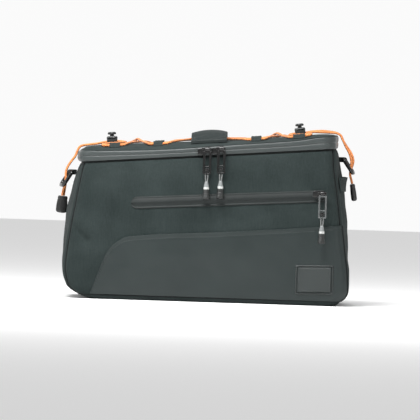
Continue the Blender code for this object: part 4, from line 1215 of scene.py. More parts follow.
# %% Strap
HANDLE_WIDTH = 44.6 * MM
HANDLE_THICK = 3.2 * MM
HANDLE_RISE = 10.4 * MM
HANDLE_CROWN = 3 * MM
HANDLE_CENTRE = -0.009 * LENGTH / 2
HANDLE_SPAN = 172 * MM
HANDLE_LIFT = (
    # along, lift
    (-1.00, 0.00),
    (-0.90, 0.01),
    (-0.82, 0.30),
    (-0.72, 0.78),
    (-0.58, 0.97),
    (0.00, 1.00),
)
STRAP_FOLDS = (
    # across and along in mm at each end, half width, height
    (-18.0, -83.0, 6.0, -77.5, 1.2, -1.1),
    (-2.0, -82.0, 21.0, -73.0, 1.2, -1.2),
    (-14.0, -77.0, 12.0, -70.0, 1.4, -1.0),
    (-21.0, -74.0, -4.0, -69.0, 1.6, 0.7),
    (-18.0, 60.0, 12.0, 78.0, 2.2, -0.5),
    (-10.0, -20.0, 16.0, 14.0, 5.0, 0.4),
)
STRAP_SEAM_INSET = 3.4 * MM
STRAP_SEAM_DIP = 0.35 * MM
STRAP_ROLL = 0.35 * MM  # how far its long edges are rounded off


def strap_under(x, y):
    """The height of the strap's underside at a place."""
    across = 2 * (x - HANDLE_CENTRE) / HANDLE_WIDTH
    lift = curve(HANDLE_LIFT, -abs(2 * y / HANDLE_SPAN))
    arch = (HANDLE_RISE - HANDLE_CROWN) * lift + HANDLE_CROWN * lift * (1 - across**2)
    return lid_z(x, y) + 2 * GAP + arch


def strap():
    def place(along, across):
        x, y = HANDLE_CENTRE + across * HANDLE_WIDTH / 2, along * HANDLE_SPAN / 2
        foot = strap_under(x, y)
        edge = (1 - abs(across)) * HANDLE_WIDTH / 2
        roll = STRAP_ROLL * bell(edge, 0.5 * MM)
        seam = STRAP_SEAM_DIP * bell(edge - STRAP_SEAM_INSET, 0.6 * MM)
        crumple = fold_height(STRAP_FOLDS, x - HANDLE_CENTRE, y)
        top = foot + HANDLE_THICK - roll - seam + crumple
        return Vector((x, y, top)), Vector((x, y, foot + 0.5 * roll))

    shape = grids(steps(-1.0, 1.0, 240), steps(-1.0, 1.0, 56), place)
    cloth("carry_strap", shape, STRAP_CLOTH, ("handle",), sharp=60)


strap()

# %% Sleeves
SLEEVES = (
    # along, length
    (-0.660, 13.0 * MM),
    (-0.361, 11.5 * MM),
    (0.317, 12.6 * MM),
    (0.611, 15.0 * MM),
)
SLEEVE_INSET = 9 * MM
SLEEVE_HALF = 2.4 * MM
SLEEVE_BORE = 3.7 * MM
SLEEVE_WALL = 0.8 * MM


def sleeve(name, along, length, sy, node):
    _, _, half, face_bow, _ = level(1.0)
    y_mid = sy * (half + 0.5 * face_bow - SLEEVE_INSET)

    def place(share, a):
        x = along * LENGTH / 2 + share * length / 2
        flare = 0.25 * MM * share**4 + 0.12 * MM * sin(9 * share + 7 * along)
        # The cloth turns out into a small foot where it is sewn down.
        foot = 0.9 * MM * bell(90 - abs(a), 14) * (1 if a > 0 else -1)
        points = []
        for out in (SLEEVE_WALL + flare, flare):
            y = y_mid + (SLEEVE_HALF + out) * sin(radians(a)) + foot
            z = lid_z(x, y) + 2 * GAP + (SLEEVE_BORE + out) * cos(radians(a))
            points.append(Vector((x, y, z)))
        return points

    shape = grids(steps(-1.0, 1.0, 14), steps(-90.0, 90.0, 20), place)
    cloth(name, shape, SLEEVE_CLOTH, (node,), sharp=60)


for number, (along, length) in enumerate(SLEEVES, 1):
    for side, sy in (("front", -1), ("back", 1)):
        sleeve(f"{side}_loop_{number}", along, length, sy, f"{side}_sleeve_{number}")

# %% End flap
FLAP_LOW = 143 * MM
FLAP_HEIGHT = 18 * MM
FLAP_THICK = 1.6 * MM
FLAP_GAPE = 4.2 * MM


def end_flap():
    def place(share, v):
        z = FLAP_LOW + FLAP_HEIGHT * share
        bow = max(0.0, 1 - (2 * v - 1) ** 2)
        ripple = 0.5 * MM * sin(17 * v) * share * bow
        hem = 0.4 * MM * bell(share - 0.86, 0.09)
        out = 2 * GAP + FLAP_GAPE * share**1.5 * bow**0.5 + ripple
        t = z / rim_z(LENGTH / 2)
        offs = (out + FLAP_THICK + hem, out)
        return [Vector((*plan(("end", 1, 0, v), t, off), z)) for off in offs]

    shape = grids(steps(0.0, 1.0, 16), steps(0.02, 0.98, 90), place)
    cloth("tall_end_flap", shape, CLOTH, ("end_flap",), sharp=60)


end_flap()
print("strap, sleeves and flap made")

# %% [markdown]
# ## Tabs, wire rings and cord locks
# A tab is one strip of webbing folded round the ring's straight bar and sewn to itself. The ring is
# bent wire. The lock is a small moulded block with a sprung button that pinches the elastic.


# %% Small hard shapes
def rounded(size, centre, radius, segments=3):
    """A block with rounded edges."""
    bm = bmesh.new()
    bmesh.ops.create_cube(bm, size=1.0)
    bmesh.ops.scale(bm, verts=bm.verts, vec=size)
    bmesh.ops.bevel(bm, geom=bm.edges[:], offset=radius, segments=segments, affect="EDGES", profile=0.5)
    bmesh.ops.translate(bm, verts=bm.verts, vec=centre)
    return bm


def lathe(profile, sides=28, squash=1.0):
    """A shape turned round the Z axis: each row of the profile is a radius and a height."""
    bm = bmesh.new()
    turns = [TURN * k / sides for k in range(sides)]
    rings = []
    for radius, z in profile:
        rings.append([bm.verts.new((radius * cos(a), squash * radius * sin(a), z)) for a in turns])
    skin_rings(bm, rings)
    return bm


# %% Pieces made of closed parts
def part_piece(name, parts, finishes, body="bag", nodes=(), placing=None):
    """A piece made of closed parts, each with the finish of its number, moved to its place."""
    whole = bmesh.new()
    whole.loops.layers.uv.new("UVMap")
    for number, part in parts:
        bmesh.ops.recalc_face_normals(part, faces=part.faces)
        for made in part.faces:
            made.material_index = number
        scratch = bpy.data.meshes.new("scratch")
        part.to_mesh(scratch)
        part.free()
        whole.from_mesh(scratch)
        bpy.data.meshes.remove(scratch)
    if placing is not None:
        bmesh.ops.transform(whole, matrix=placing, verts=whole.verts)
    mesh = bpy.data.meshes.new(name)
    whole.to_mesh(mesh)
    whole.free()
    return put(name, mesh, finishes, body, nodes)


# %% Tabs and rings
TAB_WIDTH = 19.5 * MM
TAB_REACH = 8 * MM
TAB_THICK = 5.4 * MM
RING_WIRE = 1.5 * MM
RING_COAT = 0.8 * MM  # how much thicker the ring is drawn than the model's wire
RING_WIDTH = TAB_WIDTH + 2 * 4.2 * MM
RING_LENGTH = 23 * MM
RING_CORNER = 6 * MM
RING_BEND = 2.5 * MM
STRIP_OUT, STRIP_IN = 1.15 * MM, 0.3 * MM  # the folded strip's faces, off its middle line
STRIP_CLOSES = 1.6 * MM  # how far behind the wire its two layers meet
END_LOOPS = (
    # name, side, height, seat off the end's smooth skin, hang angle, turn
    ("left", -1, 156.5 * MM, 0.3 * MM, 58, 10),
    ("right", 1, 183.0 * MM, -0.3 * MM, 55, -4),
)


def end_loop(side, sx, height, seat, hang, turn):
    share = (height - TAB_THICK / 2) / rim_z(sx * LENGTH / 2)
    left, right, _, _, bulge = level(min(1.0, share))
    surface = right + bulge if sx > 0 else left - bulge
    lean = TAB_WIDTH / 2 * sin(radians(abs(turn)))
    root = Vector((surface + sx * (seat + lean), 0, height))
    eye = TAB_REACH - TAB_THICK / 2
    facing = Matrix.Rotation((0 if sx > 0 else pi) + radians(turn), 4, "Z")
    stand = Matrix.Translation(root) @ facing

    # The folded strip, as a line from the sewn end round the wire and back.
    half = TAB_THICK / 2 - 0.65 * MM
    turned = [radians(a) for a in steps(0, 180, 14)]
    lower = [Vector((s * eye - 1.0 * MM * (1 - s), 0, -half)) for s in steps(0.0, 1.0, 6)]
    round_bar = [Vector((eye + half * sin(a), 0, -half * cos(a))) for a in turned]
    upper = [Vector((p.x, 0, half)) for p in lower[::-1]]
    fold = lower[:-1] + round_bar + upper[1:]

    def place(across, i):
        p = fold[i]
        run = (fold[min(i + 1, len(fold) - 1)] - fold[max(i - 1, 0)]).normalized()
        out = Vector((run.z, 0, -run.x))
        across_by = Vector((0, across * TAB_WIDTH / 2, 0))
        roll = 0.25 * MM * abs(across) ** 8
        closing = clamped((eye - p.x) / STRIP_CLOSES) * (half - 0.35 * MM)
        proud = p + across_by + out * (STRIP_OUT - roll)
        return stand @ proud, stand @ (p + across_by - out * (closing + STRIP_IN))

    shape = grids(steps(-1.0, 1.0, 16), range(len(fold)), place)
    cloth(f"{side}_folded_tab", shape, DARK_WEBBING_AND_SEAM_SHADE, (f"{side}_tab",), sharp=60)

    down = Vector((cos(radians(hang)), 0, -sin(radians(hang))))
    wide = RING_WIDTH / 2 - RING_WIRE
    reach = RING_LENGTH - 2 * RING_WIRE
    path = []
    for across, along, radius, start in (
        (-wide + RING_BEND, RING_BEND, RING_BEND, 270),
        (-wide + RING_CORNER, reach - RING_CORNER, RING_CORNER, 180),
        (wide - RING_CORNER, reach - RING_CORNER, RING_CORNER, 90),
        (wide - RING_BEND, RING_BEND, RING_BEND, 0),
    ):
        for angle in steps(start, start - 90, 8):
            y = across + radius * cos(radians(angle))
            rise = along + radius * sin(radians(angle))
            path.append(stand @ (Vector((eye, y, 0)) + down * rise))
    thick = RING_WIRE + RING_COAT
    node = f"{side}_ring"
    tube(f"{side}_wire_ring", [path], thick, 16, METAL, (node,), closed=True)


for loop_row in END_LOOPS:
    end_loop(*loop_row)

# %% Cord locks
CORD_PITCH = 3.8 * MM
LOCK_WIDTH = 13.5 * MM
LOCK_DEPTH = 11.5 * MM
LOCK_HEIGHT = 9.8 * MM
LOCK_FLOOR = 1.0 * MM
LOCK_ALONG = (-0.685, 0.624)
BUTTON_RADIUS = 5.0 * MM
BUTTON_CAP = 3.2 * MM
BUTTON_STEM = 2.9 * MM
BUTTON_NECK = 2.1 * MM
SLOT_HEIGHT = 2 * CORD_RADIUS + 3 * GAP


# %% Lock blocks and buttons
COLLAR = ((4.4, -0.6), (4.4, 0.05), (4.2, 0.2), (3.3, 0.2))  # radius, height over the block, mm
CAP_TOP = (
    # in from the cap's radius, down from its top in mm
    (0.0, 1.1),
    (0.4, 0.4),
    (1.1, 0.0),
    (1.9, 0.1),
    (2.4, 0.5),
    (4.6, 0.6),
)
CAP_RIBS = 18
RIB_SIZE = 0.5 * MM


def cord_lock(side, x):
    low, high = (lid_z(x + s * LOCK_WIDTH / 2, 0.0) for s in (-1, 1))
    foot = (low + high) / 2 + 3 * GAP
    tilted = Matrix.Rotation(-atan2(high - low, LOCK_WIDTH), 4, "Y")
    stand = Matrix.Translation((x, 0, foot)) @ tilted
    wing = (LOCK_DEPTH - CORD_PITCH - 2 * CORD_RADIUS - 3 * GAP) / 2
    roof_low = LOCK_FLOOR + SLOT_HEIGHT
    roof = LOCK_HEIGHT - roof_low
    blocks = [rounded((LOCK_WIDTH, LOCK_DEPTH, LOCK_FLOOR), (0, 0, LOCK_FLOOR / 2), 0.3 * MM)]
    for sy in (-1, 1):
        at = (0, sy * (LOCK_DEPTH - wing) / 2, LOCK_HEIGHT / 2 - 0.2 * MM)
        size = (LOCK_WIDTH - 0.4 * MM, wing, LOCK_HEIGHT - 0.8 * MM)
        blocks.append(rounded(size, at, 0.7 * MM))
    at = (0, 0, roof_low + roof / 2)
    blocks.append(rounded((LOCK_WIDTH, LOCK_DEPTH, roof), at, 1.5 * MM, 4))
    blocks.append(lathe([(r * MM, LOCK_HEIGHT + z * MM) for r, z in COLLAR]))
    parts = [(0, block) for block in blocks]
    node = f"{side}_lock_body"
    part_piece(f"{side}_lock_block", parts, [PLASTIC], "bag", (node,), stand)

    cap_low = LOCK_HEIGHT + BUTTON_NECK
    cap_high = cap_low + BUTTON_CAP
    cap = [
        (BUTTON_STEM, cap_low),
        (BUTTON_RADIUS - 0.5 * MM, cap_low),
        (BUTTON_RADIUS, cap_low + 0.5 * MM),
    ]
    cap += [(BUTTON_RADIUS - inset * MM, cap_high - down * MM) for inset, down in CAP_TOP]
    thin = BUTTON_STEM - 0.3 * MM
    stem = [(thin, LOCK_HEIGHT - 1.2 * MM), (thin, cap_low + 0.3 * MM)]
    ribs = [(0, lathe(cap)), (0, lathe(stem, 20))]
    for k in range(CAP_RIBS):
        angle = TURN * k / CAP_RIBS
        at = (BUTTON_RADIUS * cos(angle), BUTTON_RADIUS * sin(angle), cap_low + BUTTON_CAP * 0.42)
        rib = rounded((RIB_SIZE, RIB_SIZE, BUTTON_CAP * 0.6), (0, 0, 0), 0.15 * MM, 1)
        turned = Matrix.Translation(at) @ Matrix.Rotation(angle, 4, "Z")
        bmesh.ops.transform(rib, matrix=turned, verts=rib.verts)
        ribs.append((0, rib))
    body, node = f"{side}_button", f"{side}_lock_button"
    part_piece(f"{side}_button_cap", ribs, [PLASTIC], body, (node,), stand)


for side, along in zip(("left", "right"), LOCK_ALONG):
    cord_lock(side, along * LENGTH / 2)
print("tabs, rings and locks made")

# %% [markdown]
# ## The grips on the elastic's ends
# Each grip is moulded round both strands. Its front has a vertical ridge, so that one side of it
# catches the light and the other doesn't. A rounded outline is drawn at several heights and skinned.


# %% Moulded grips
GRIP_BLOCK = 21.5 * MM
GRIPS = (
    # name, where the strands enter in mm, size along x and y, tilt
    ("left_grip", (-184.3, 126.3), (14.0 * MM, 8.6 * MM), -5),
    ("right_grip", (180.2, 152.9), (7.4 * MM, 14.0 * MM), 9),
)
GRIP_SECTION = (
    # down the grip, width
    (0.00, 0.72),
    (0.04, 0.84),
    (0.12, 0.90),
    (0.20, 0.86),
    (0.26, 0.92),
    (0.60, 1.00),
    (0.85, 0.99),
    (0.94, 0.88),
    (0.985, 0.66),
    (1.00, 0.40),
)
RIDGE_AT = -0.22
GRIP_CORNER = 0.55


def grip_outline(size, wide):
    """Half way between an oval and a box, with a ridge down the front and the back."""
    found = []
    for k in range(48):
        angle = TURN * k / 48
        c, s = cos(angle), sin(angle)
        x = (abs(c) ** GRIP_CORNER) * (1 if c > 0 else -1)
        y = (abs(s) ** GRIP_CORNER) * (1 if s > 0 else -1)
        y *= 0.78 + 0.22 * max(0.0, 1 - abs(x - RIDGE_AT) * 0.9)
        found.append((x * size[0] / 2 * wide, y * size[1] / 2 * (0.5 + 0.5 * wide)))
    return found


def cord_grip(name, entry, size, tilt):
    top = Vector((entry[0] * MM, 0, entry[1] * MM))
    bm = bmesh.new()
    rings = []
    for share in steps(0.0, 1.0, 40):
        z = -GAP - share * GRIP_BLOCK
        section = grip_outline(size, curve(GRIP_SECTION, share))
        rings.append([bm.verts.new((x, y, z)) for x, y in section])
    skin_rings(bm, rings)
    hang = Matrix.Translation(top) @ Matrix.Rotation(radians(-tilt), 4, "Y")
    part_piece(f"{name}_moulding", [(0, bm)], [GRIP_RUBBER], "bag", (name,), hang)


for grip_row in GRIPS:
    cord_grip(*grip_row)
print("grips made:", len(GRIPS))

# %% [markdown]
# ## Sliders and pulls
# A slider is a small cast body with a bridge that holds the pull's eye. The pull is a flat enamelled
# frame with a long window and a small one; a loop of cord is knotted in the small window, and both
# of its ends run into a grip with a grey cone, a white band and a dark flared end.

# %% Pulls
SLIDER_LENGTH = 10.5 * MM
SLIDER_HEIGHT = 8.4 * MM
SLIDER_THICK = 2.4 * MM
BAR_RADIUS = 1.1 * MM
LUG_THICK = 1.5 * MM
EYE_RADIUS = 2.7 * MM
EYE_WIDTH = 6.0 * MM
PULLER_WIDTH = 10.4 * MM
PULLER_LENGTH = 31.5 * MM
PULLER_THICK = 1.8 * MM
PULLER_RIM = 2.2 * MM
KNOT_WINDOW = 7.4 * MM
SLIT_NARROWED = 1.4 * MM  # the lid's two frames have a narrower long window
GRIP_TOP = 41 * MM
GRIP_LENGTH = 22.5 * MM
REST_LEAN = radians(6.6)


def outline(width, height, centre_z, radius):
    """A rounded rectangle in the XZ plane, as a list of points."""
    points = []
    for sx, sz, start in ((1, 1, 0), (-1, 1, 90), (-1, -1, 180), (1, -1, 270)):
        for a in steps(start, start + 90, 8):
            x = sx * (width / 2 - radius) + radius * cos(radians(a))
            z = centre_z + sz * (height / 2 - radius) + radius * sin(radians(a))
            points.append((x, z))
    return points


# %% Plates with windows
def pierced_plate(outlines, thick, bevel):
    """A plate with windows: a filled flat curve, given thickness and round edges, as a mesh."""
    flat = bpy.data.curves.new("plate", "CURVE")
    flat.dimensions = "2D"
    flat.fill_mode = "BOTH"
    flat.extrude = thick / 2 - bevel
    flat.bevel_depth = bevel
    flat.bevel_resolution = 3
    flat.offset = -bevel
    for points in outlines:
        loop = flat.splines.new("POLY")
        loop.points.add(len(points) - 1)
        loop.use_cyclic_u = True
        for point, (x, z) in zip(loop.points, points):
            point.co = (x, z, 0.0, 1.0)
    holder = bpy.data.objects.new("plate", flat)
    bpy.context.scene.collection.objects.link(holder)
    graph = bpy.context.evaluated_depsgraph_get()
    mesh = bpy.data.meshes.new_from_object(holder.evaluated_get(graph))
    bpy.data.objects.remove(holder)
    bpy.data.curves.remove(flat)
    bm = bmesh.new()
    bm.from_mesh(mesh)
    bpy.data.meshes.remove(mesh)
    bmesh.ops.remove_doubles(bm, verts=bm.verts, dist=0.005 * MM)
    bmesh.ops.rotate(bm, verts=bm.verts, matrix=Matrix.Rotation(pi / 2, 3, "X"))
    return bm


# %% Slider
SLIDER_SIDE = (
    # the body's upper half as shares of its half length and half height, from the wide end
    (-1.0, 0.62),
    (-0.82, 0.92),
    (-0.2, 1.0),
    (0.5, 0.84),
    (0.94, 0.72),
    (1.0, 0.4),
)


def slider(name):
    """The cast slider: a body with two flared shoulders, the lugs and the bar between them."""
    low, high = (Vector(c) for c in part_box(f"{name}_slider"))
    axis = JOINT_AT[f"{name}_pull"]
    plate_x = low.x + SLIDER_LENGTH / 2
    plate_y = high.y - SLIDER_THICK / 2
    plate_z = low.z + SLIDER_HEIGHT / 2
    face_y = plate_y - SLIDER_THICK / 2
    rim = [(x, -z) for x, z in SLIDER_SIDE] + list(SLIDER_SIDE[::-1])
    points = [(x * SLIDER_LENGTH / 2, z * SLIDER_HEIGHT / 2) for x, z in rim]
    body = pierced_plate([points], SLIDER_THICK, 0.5 * MM)
    bmesh.ops.translate(body, verts=body.verts, vec=(plate_x, plate_y, plate_z))
    span = EYE_WIDTH + 2 * GAP
    depth = face_y - axis.y + BAR_RADIUS
    parts = [(0, body)]
    for sx in (-1, 1):
        at = (axis.x + sx * (span + LUG_THICK) / 2, axis.y + depth / 2 - BAR_RADIUS, axis.z)
        size = (LUG_THICK, depth + 0.8 * MM, 2 * BAR_RADIUS + 1.0 * MM)
        parts.append((0, rounded(size, at, 0.45 * MM)))
    bar = [axis + Vector((s * (span / 2 + LUG_THICK * 0.4), 0, 0)) for s in (-1, 1)]
    parts.append((0, tubes([bar], BAR_RADIUS, 16)))
    reach = high.x - plate_x
    rail = (plate_x + reach / 2, face_y + 0.4 * MM, axis.z)
    parts.append((0, rounded((reach, 1.3 * MM, 2 * BAR_RADIUS + 0.7 * MM), rail, 0.35 * MM)))
    node = f"{name}_slider"
    part_piece(f"{name}_cast_slider", parts, [METAL], "bag", (node,))


# %% Pull frame
def pull_frame(name, lean):
    top = -EYE_RADIUS * 0.9
    inner = PULLER_WIDTH - 2 * PULLER_RIM
    slit = inner if name == "pocket" else inner - SLIT_NARROWED
    knot_low = -PULLER_LENGTH + PULLER_RIM * 0.7
    knot_high = knot_low + KNOT_WINDOW
    long_low = knot_high + PULLER_RIM * 0.6
    long_high = -EYE_RADIUS - PULLER_RIM
    height = PULLER_LENGTH + top
    plate = pierced_plate(
        [
            outline(PULLER_WIDTH, height, (top - PULLER_LENGTH) / 2, 1.6 * MM),
            outline(slit, long_high - long_low, (long_high + long_low) / 2, 1.0 * MM),
            outline(inner, KNOT_WINDOW, (knot_low + knot_high) / 2, 1.0 * MM),
        ],
        PULLER_THICK,
        0.45 * MM,
    )
    turns = [TURN * k / 32 for k in range(32)]
    eye = [[(r * cos(a), r * sin(a)) for a in turns] for r in (EYE_RADIUS, BAR_RADIUS + GAP)]
    collar = pierced_plate(eye, EYE_WIDTH, 0.3 * MM)
    bmesh.ops.rotate(collar, verts=collar.verts, matrix=Matrix.Rotation(pi / 2, 3, "Z"))
    # The pocket's frame is painted a paler grey than the two on the lid: the grey is painted reflection
    # on the same black enamel.
    finishes = [PAINTED_REFLECTION_ENAMEL if name == "pocket" else METAL, METAL]
    parts = [(0, plate), (1, collar)]
    body, node = f"{name}_pull", f"{name}_puller"
    part_piece(f"{name}_pull_frame", parts, finishes, body, (node,), lean)
    return inner, knot_low, knot_high


# %% Knot, cord and grip of a pull
KNOT_TURNS = 3
KNOT_STEPS = 72
CORD_DOWN = (
    # the place it is measured from, then sideways, towards the bag and up, in mm
    ("knot", 0.8, 0.6, 0.0),
    ("window", 1.2, 1.5, -0.8),
    ("window", 1.5, 0.6, -3.4),
    ("grip", 1.2, 0.0, 2.5),
    ("grip", 0.8, 0.0, -1.5),
)
GRIP_WIDE = 4.7 * MM
GRIP_FLAT = 3.4 / 4.7
CONE_SHARE, BAND_SHARE = 0.31, 0.43  # how far down the grip the cone and the band end
GRIP_NOTCH = 0.05


def grip_shells():
    """The turned parts of a pull's grip: the cone, the white band and the ribbed flared end."""
    wide = GRIP_WIDE
    cone_low = -GRIP_TOP - CONE_SHARE * GRIP_LENGTH
    band_low = -GRIP_TOP - BAND_SHARE * GRIP_LENGTH
    end_low = -GRIP_TOP - GRIP_LENGTH
    cone = [(1.3, 0.5), (1.9, 0.0), (2.3, -1.6), (2.9, -4.0)]
    cone = [(radius * MM, -GRIP_TOP + z * MM) for radius, z in cone] + [(0.70 * wide, cone_low)]
    upper = [(0.66 * wide, 0.2 * MM), (0.72 * wide, 0.0), (0.74 * wide, -0.4 * MM)]
    white = [(r, cone_low + z) for r, z in upper] + [(r, band_low - z) for r, z in upper[::-1]]
    flared = [(0.68 * wide, band_low), (0.72 * wide, band_low - 0.3 * MM)]
    for share in steps(0.0, 1.0, 30):
        z = band_low - 0.6 * MM + (end_low + 1.2 * MM - band_low + 0.6 * MM) * share
        notch = GRIP_NOTCH * max(0.0, sin(share * TURN * 3.5)) * (0.15 < share < 0.75)
        flared.append(((0.72 + 0.28 * share**0.8 - notch) * wide, z))
    flared += [(0.97 * wide, end_low + 0.7 * MM), (0.88 * wide, end_low + 0.25 * MM)]
    flared.append((0.6 * wide, end_low))
    return [lathe(profile, 32, GRIP_FLAT) for profile in (cone, white, flared)]


def pull_cord(name, lean, inner, knot_low, knot_high):
    """The knot in the small window, the two strands from it, and the grip they end in."""
    middle = (knot_low + knot_high) / 2 - 0.3 * MM
    wide = inner / 2 - 1.05 * MM
    knot = []
    for angle in steps(0.0, TURN * KNOT_TURNS, KNOT_STEPS):
        slow = angle * 2 / 3
        x = wide * cos(angle) * (0.8 + 0.2 * cos(slow))
        knot.append(Vector((x, 2.1 * MM * sin(angle), middle + 1.7 * MM * sin(slow + 0.6))))
    size = (inner - 1.8 * MM, 2.8 * MM, KNOT_WINDOW - 3.0 * MM)
    core = rounded(size, (0, 0, middle), 1.2 * MM)
    heights = {"knot": middle, "window": knot_low, "grip": -GRIP_TOP}
    down = []
    for sx in (-1, 1):
        points = [Vector((sx * x * MM, y * MM, heights[at] + z * MM)) for at, x, y, z in CORD_DOWN]
        down.append(spline(points, 0.7 * MM))
    parts = [(0, tubes([knot], 0.95 * MM, 10)), (0, core), (1, tubes(down, 0.8 * MM, 10))]
    parts += list(enumerate(grip_shells(), 2))
    finishes = [KNOT_CORD, PULL_CORD, GRIP_GREY, GRIP_WHITE, PULL_END]
    body, node = f"{name}_pull", f"{name}_pull_grip"
    part_piece(f"{name}_corded_grip", parts, finishes, body, (node,), lean)


for name in ("zip_left", "zip_right", "pocket"):
    axis = JOINT_AT[f"{name}_pull"]
    lean = Matrix.Translation(axis) @ Matrix.Rotation(-REST_LEAN, 4, "X")
    slider(name)
    windows = pull_frame(name, lean)
    pull_cord(name, lean, *windows)
print("sliders and pulls made")

# %% [markdown]
# ## Stitching
# Stitches repeat along a seam, so Geometry Nodes lay them: the seam's line is resampled at the
# stitch length, a small bead is put on every point and turned along the line, and the instances are
# made real. The result becomes a plain mesh, since an export drops instances.


# %% Stitches
def stitch_tree():
    tree = bpy.data.node_groups.new("stitches", "GeometryNodeTree")
    face_in = tree.interface
    face_in.new_socket("Geometry", in_out="INPUT", socket_type="NodeSocketGeometry")
    names = {}
    for label, kind in (("Pitch", "NodeSocketFloat"), ("Bead", "NodeSocketFloat"),
                        ("Radius", "NodeSocketFloat"), ("Finish", "NodeSocketMaterial")):
        names[label] = face_in.new_socket(label, in_out="INPUT", socket_type=kind).identifier
    face_in.new_socket("Geometry", in_out="OUTPUT", socket_type="NodeSocketGeometry")

    def add(kind, **settings):
        made = tree.nodes.new(kind)
        for key, value in settings.items():
            setattr(made, key, value)
        return made

    entry, leave = add("NodeGroupInput"), add("NodeGroupOutput")
    spaced = add("GeometryNodeResampleCurve", mode="LENGTH")
    bead = add("GeometryNodeMeshUVSphere")
    for label, value in (("Segments", 6), ("Rings", 4), ("Radius", 1.0)):
        bead.inputs[label].default_value = value
    size = add("ShaderNodeCombineXYZ")
    tangent = add("GeometryNodeInputTangent")
    turn = add("FunctionNodeAlignRotationToVector", axis="X")
    beads = add("GeometryNodeInstanceOnPoints")
    real = add("GeometryNodeRealizeInstances")
    colour = add("GeometryNodeSetMaterial")
    for giver, given, taker, taken in (
        (entry, "Geometry", spaced, "Curve"),
        (entry, "Pitch", spaced, "Length"),
        (entry, "Bead", size, "X"),
        (entry, "Radius", size, "Y"),
        (entry, "Radius", size, "Z"),
        (tangent, "Tangent", turn, "Vector"),
        (spaced, "Curve", beads, "Points"),
        (bead, "Mesh", beads, "Instance"),
        (turn, "Rotation", beads, "Rotation"),
        (size, "Vector", beads, "Scale"),
        (beads, "Instances", real, "Geometry"),
        (real, "Geometry", colour, "Geometry"),
        (entry, "Finish", colour, "Material"),
        (colour, "Geometry", leave, "Geometry"),
    ):
        tree.links.new(giver.outputs[given], taker.inputs[taken])
    return tree, names


STITCHES, STITCH_INPUTS = stitch_tree()


# %% Laying stitches
def stitched(name, lines, pitch=3.0 * MM, radius=0.22 * MM):
    """Stitches along every line, as one mesh."""
    guide = bpy.data.curves.new("guide", "CURVE")
    guide.dimensions = "3D"
    for line in lines:
        run = guide.splines.new("POLY")
        run.points.add(len(line) - 1)
        for point, at in zip(run.points, line):
            point.co = (*at, 1.0)
    holder = bpy.data.objects.new("guide", guide)
    bpy.context.scene.collection.objects.link(holder)
    layer = holder.modifiers.new("stitches", "NODES")
    layer.node_group = STITCHES
    inputs = {"Pitch": pitch, "Bead": pitch * 0.40, "Radius": radius, "Finish": THREAD}
    for label, value in inputs.items():
        layer[STITCH_INPUTS[label]] = value
    graph = bpy.context.evaluated_depsgraph_get()
    mesh = bpy.data.meshes.new_from_object(holder.evaluated_get(graph))
    bpy.data.objects.remove(holder)
    bpy.data.curves.remove(guide)
    mesh.materials.clear()
    return put(name, mesh, [THREAD])


def on_front(points, out):
    """A line on the dressed front: points are x and z, and out is how far off its relief it lies."""
    return [front_at(x, z, out + max(front_relief(x, z), RELIEF_FLOOR)) for x, z in points]


def on_strap(points):
    """A line on top of the strap: points are measured across it and along the depth."""
    found = []
    for across, y in points:
        x = HANDLE_CENTRE + across
        top = strap_under(x, y) + HANDLE_THICK + fold_height(STRAP_FOLDS, across, y)
        found.append(Vector((x, y, top + 0.02 * MM)))
    return found


def straight_run(a, b, count=24):
    return [(a[0] + (b[0] - a[0]) * s, a[1] + (b[1] - a[1]) * s) for s in steps(0.0, 1.0, count)]


# %% Rows of stitches
STRAP_BOX, STRAP_END = 76 * MM, 84 * MM  # the crossed box at each end lies between these
edge_x = HANDLE_WIDTH / 2 - STRAP_SEAM_INSET
strap_lines = []
for s in (-1, 1):
    strap_lines.append(on_strap(straight_run((s * edge_x, -STRAP_END), (s * edge_x, STRAP_END), 100)))
for sy in (-1, 1):
    near, far = sy * STRAP_BOX, sy * STRAP_END
    for y_left, y_right in ((near, near), (far, far), (near, far), (far, near)):
        strap_lines.append(on_strap(straight_run((-edge_x, y_left), (edge_x, y_right))))
stitched("strap_stitches", strap_lines, 3.2 * MM)

edge_points = []
for x in steps(PANEL_START + 6 * MM, 0.86 * LENGTH / 2, 140):
    edge_points.append((x, panel_top(x) - 5.2 * MM))
edge_line = on_front(edge_points, 2 * GAP + PANEL_THICK - 0.30 * MM)
stitched("panel_stitches", [edge_line], 3.2 * MM, 0.24 * MM)

pocket_lines = []
for across, out in ((-0.66, 0.75 * MM), (0.88, 1.0 * MM)):
    row = []
    for x in steps(POCKET_LEFT + 5 * MM, POCKET_RIGHT - 5 * MM, 90):
        row.append((x, pocket_line(x) + across * POCKET_HALF))
    pocket_lines.append(on_front(row, out))
stitched("pocket_stitches", pocket_lines)

flap_row = []
flap_seam = FLAP_LOW + 2 * MM
for v in steps(0.04, 0.96, 60):
    out = 2 * GAP + FLAP_THICK + 0.25 * MM
    flap_row.append(Vector((*plan(("end", 1, 0, v), flap_seam / rim_z(LENGTH / 2), out), flap_seam)))
stitched("flap_stitches", [flap_row])
print("stitches made")

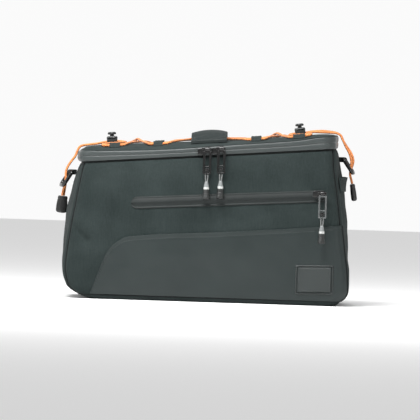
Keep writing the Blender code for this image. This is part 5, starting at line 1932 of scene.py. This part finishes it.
# %% [markdown]
# ## Floor and light
# The photograph is a cut-out on white, lit softly from above and a little from the left. A pale
# floor and four broad lamps repeat it: the strongest above in front, one nearer and lower that
# brings out the folds, and a weak one from each side. The sky is dimmer on the camera's side than
# behind the bag, which keeps the cloth dark and the background pale.

# %% Floor, sky and lamps
floor_mesh = bpy.data.meshes.new("floor")
floor_mesh.from_pydata([(-6, -6, 0), (6, -6, 0), (6, 6, 0), (-6, 6, 0)], [], [(0, 1, 2, 3)])
floor = bpy.data.objects.new("floor", floor_mesh)
floor_paint = Finish("pale_floor", roughness=0.9, specular=0.1)
floor_paint.feed("Base Color", (0.94, 0.94, 0.94))
floor_mesh.materials.append(floor_paint.material)
bpy.context.scene.collection.objects.link(floor)
floor.location.z = -0.2 * MM

world = bpy.data.worlds.new("sky")
world.use_nodes = True
sky = world.node_tree
looking = sky.nodes.new("ShaderNodeTexCoord")
parts_of = sky.nodes.new("ShaderNodeSeparateXYZ")
spread = sky.nodes.new("ShaderNodeMapRange")
for socket, value in zip(spread.inputs[1:5], (-0.6, 0.6, 0.42, 0.96)):
    socket.default_value = value
sky.links.new(looking.outputs["Generated"], parts_of.inputs[0])
sky.links.new(parts_of.outputs["Y"], spread.inputs[0])
sky.links.new(spread.outputs[0], sky.nodes["Background"].inputs["Strength"])
sky.nodes["Background"].inputs["Color"].default_value = (1, 1, 1, 1)
bpy.context.scene.world = world
bpy.context.scene.view_settings.view_transform = "Standard"


def lamp(name, place, aim, size, power):
    light = bpy.data.lights.new(name, "AREA")
    light.shape = "RECTANGLE"
    light.size, light.size_y = size
    light.energy = power
    obj = bpy.data.objects.new(name, light)
    obj.location = place
    obj.rotation_euler = (Vector(place) - Vector(aim)).to_track_quat("Z", "Y").to_euler()
    bpy.context.scene.collection.objects.link(obj)


lamp("top_lamp", (-0.35, -0.70, 1.6), (0, -0.05, 0.12), (0.9, 0.7), 14)
lamp("near_lamp", (-0.16, -0.52, 0.78), (-0.02, -0.10, 0.12), (0.6, 0.25), 11)
lamp("left_lamp", (-1.5, -0.9, 0.9), (0, 0, 0.12), (0.5, 0.7), 7)
lamp("right_lamp", (1.5, -1.3, 0.5), (0, 0, 0.12), (0.5, 0.7), 3)
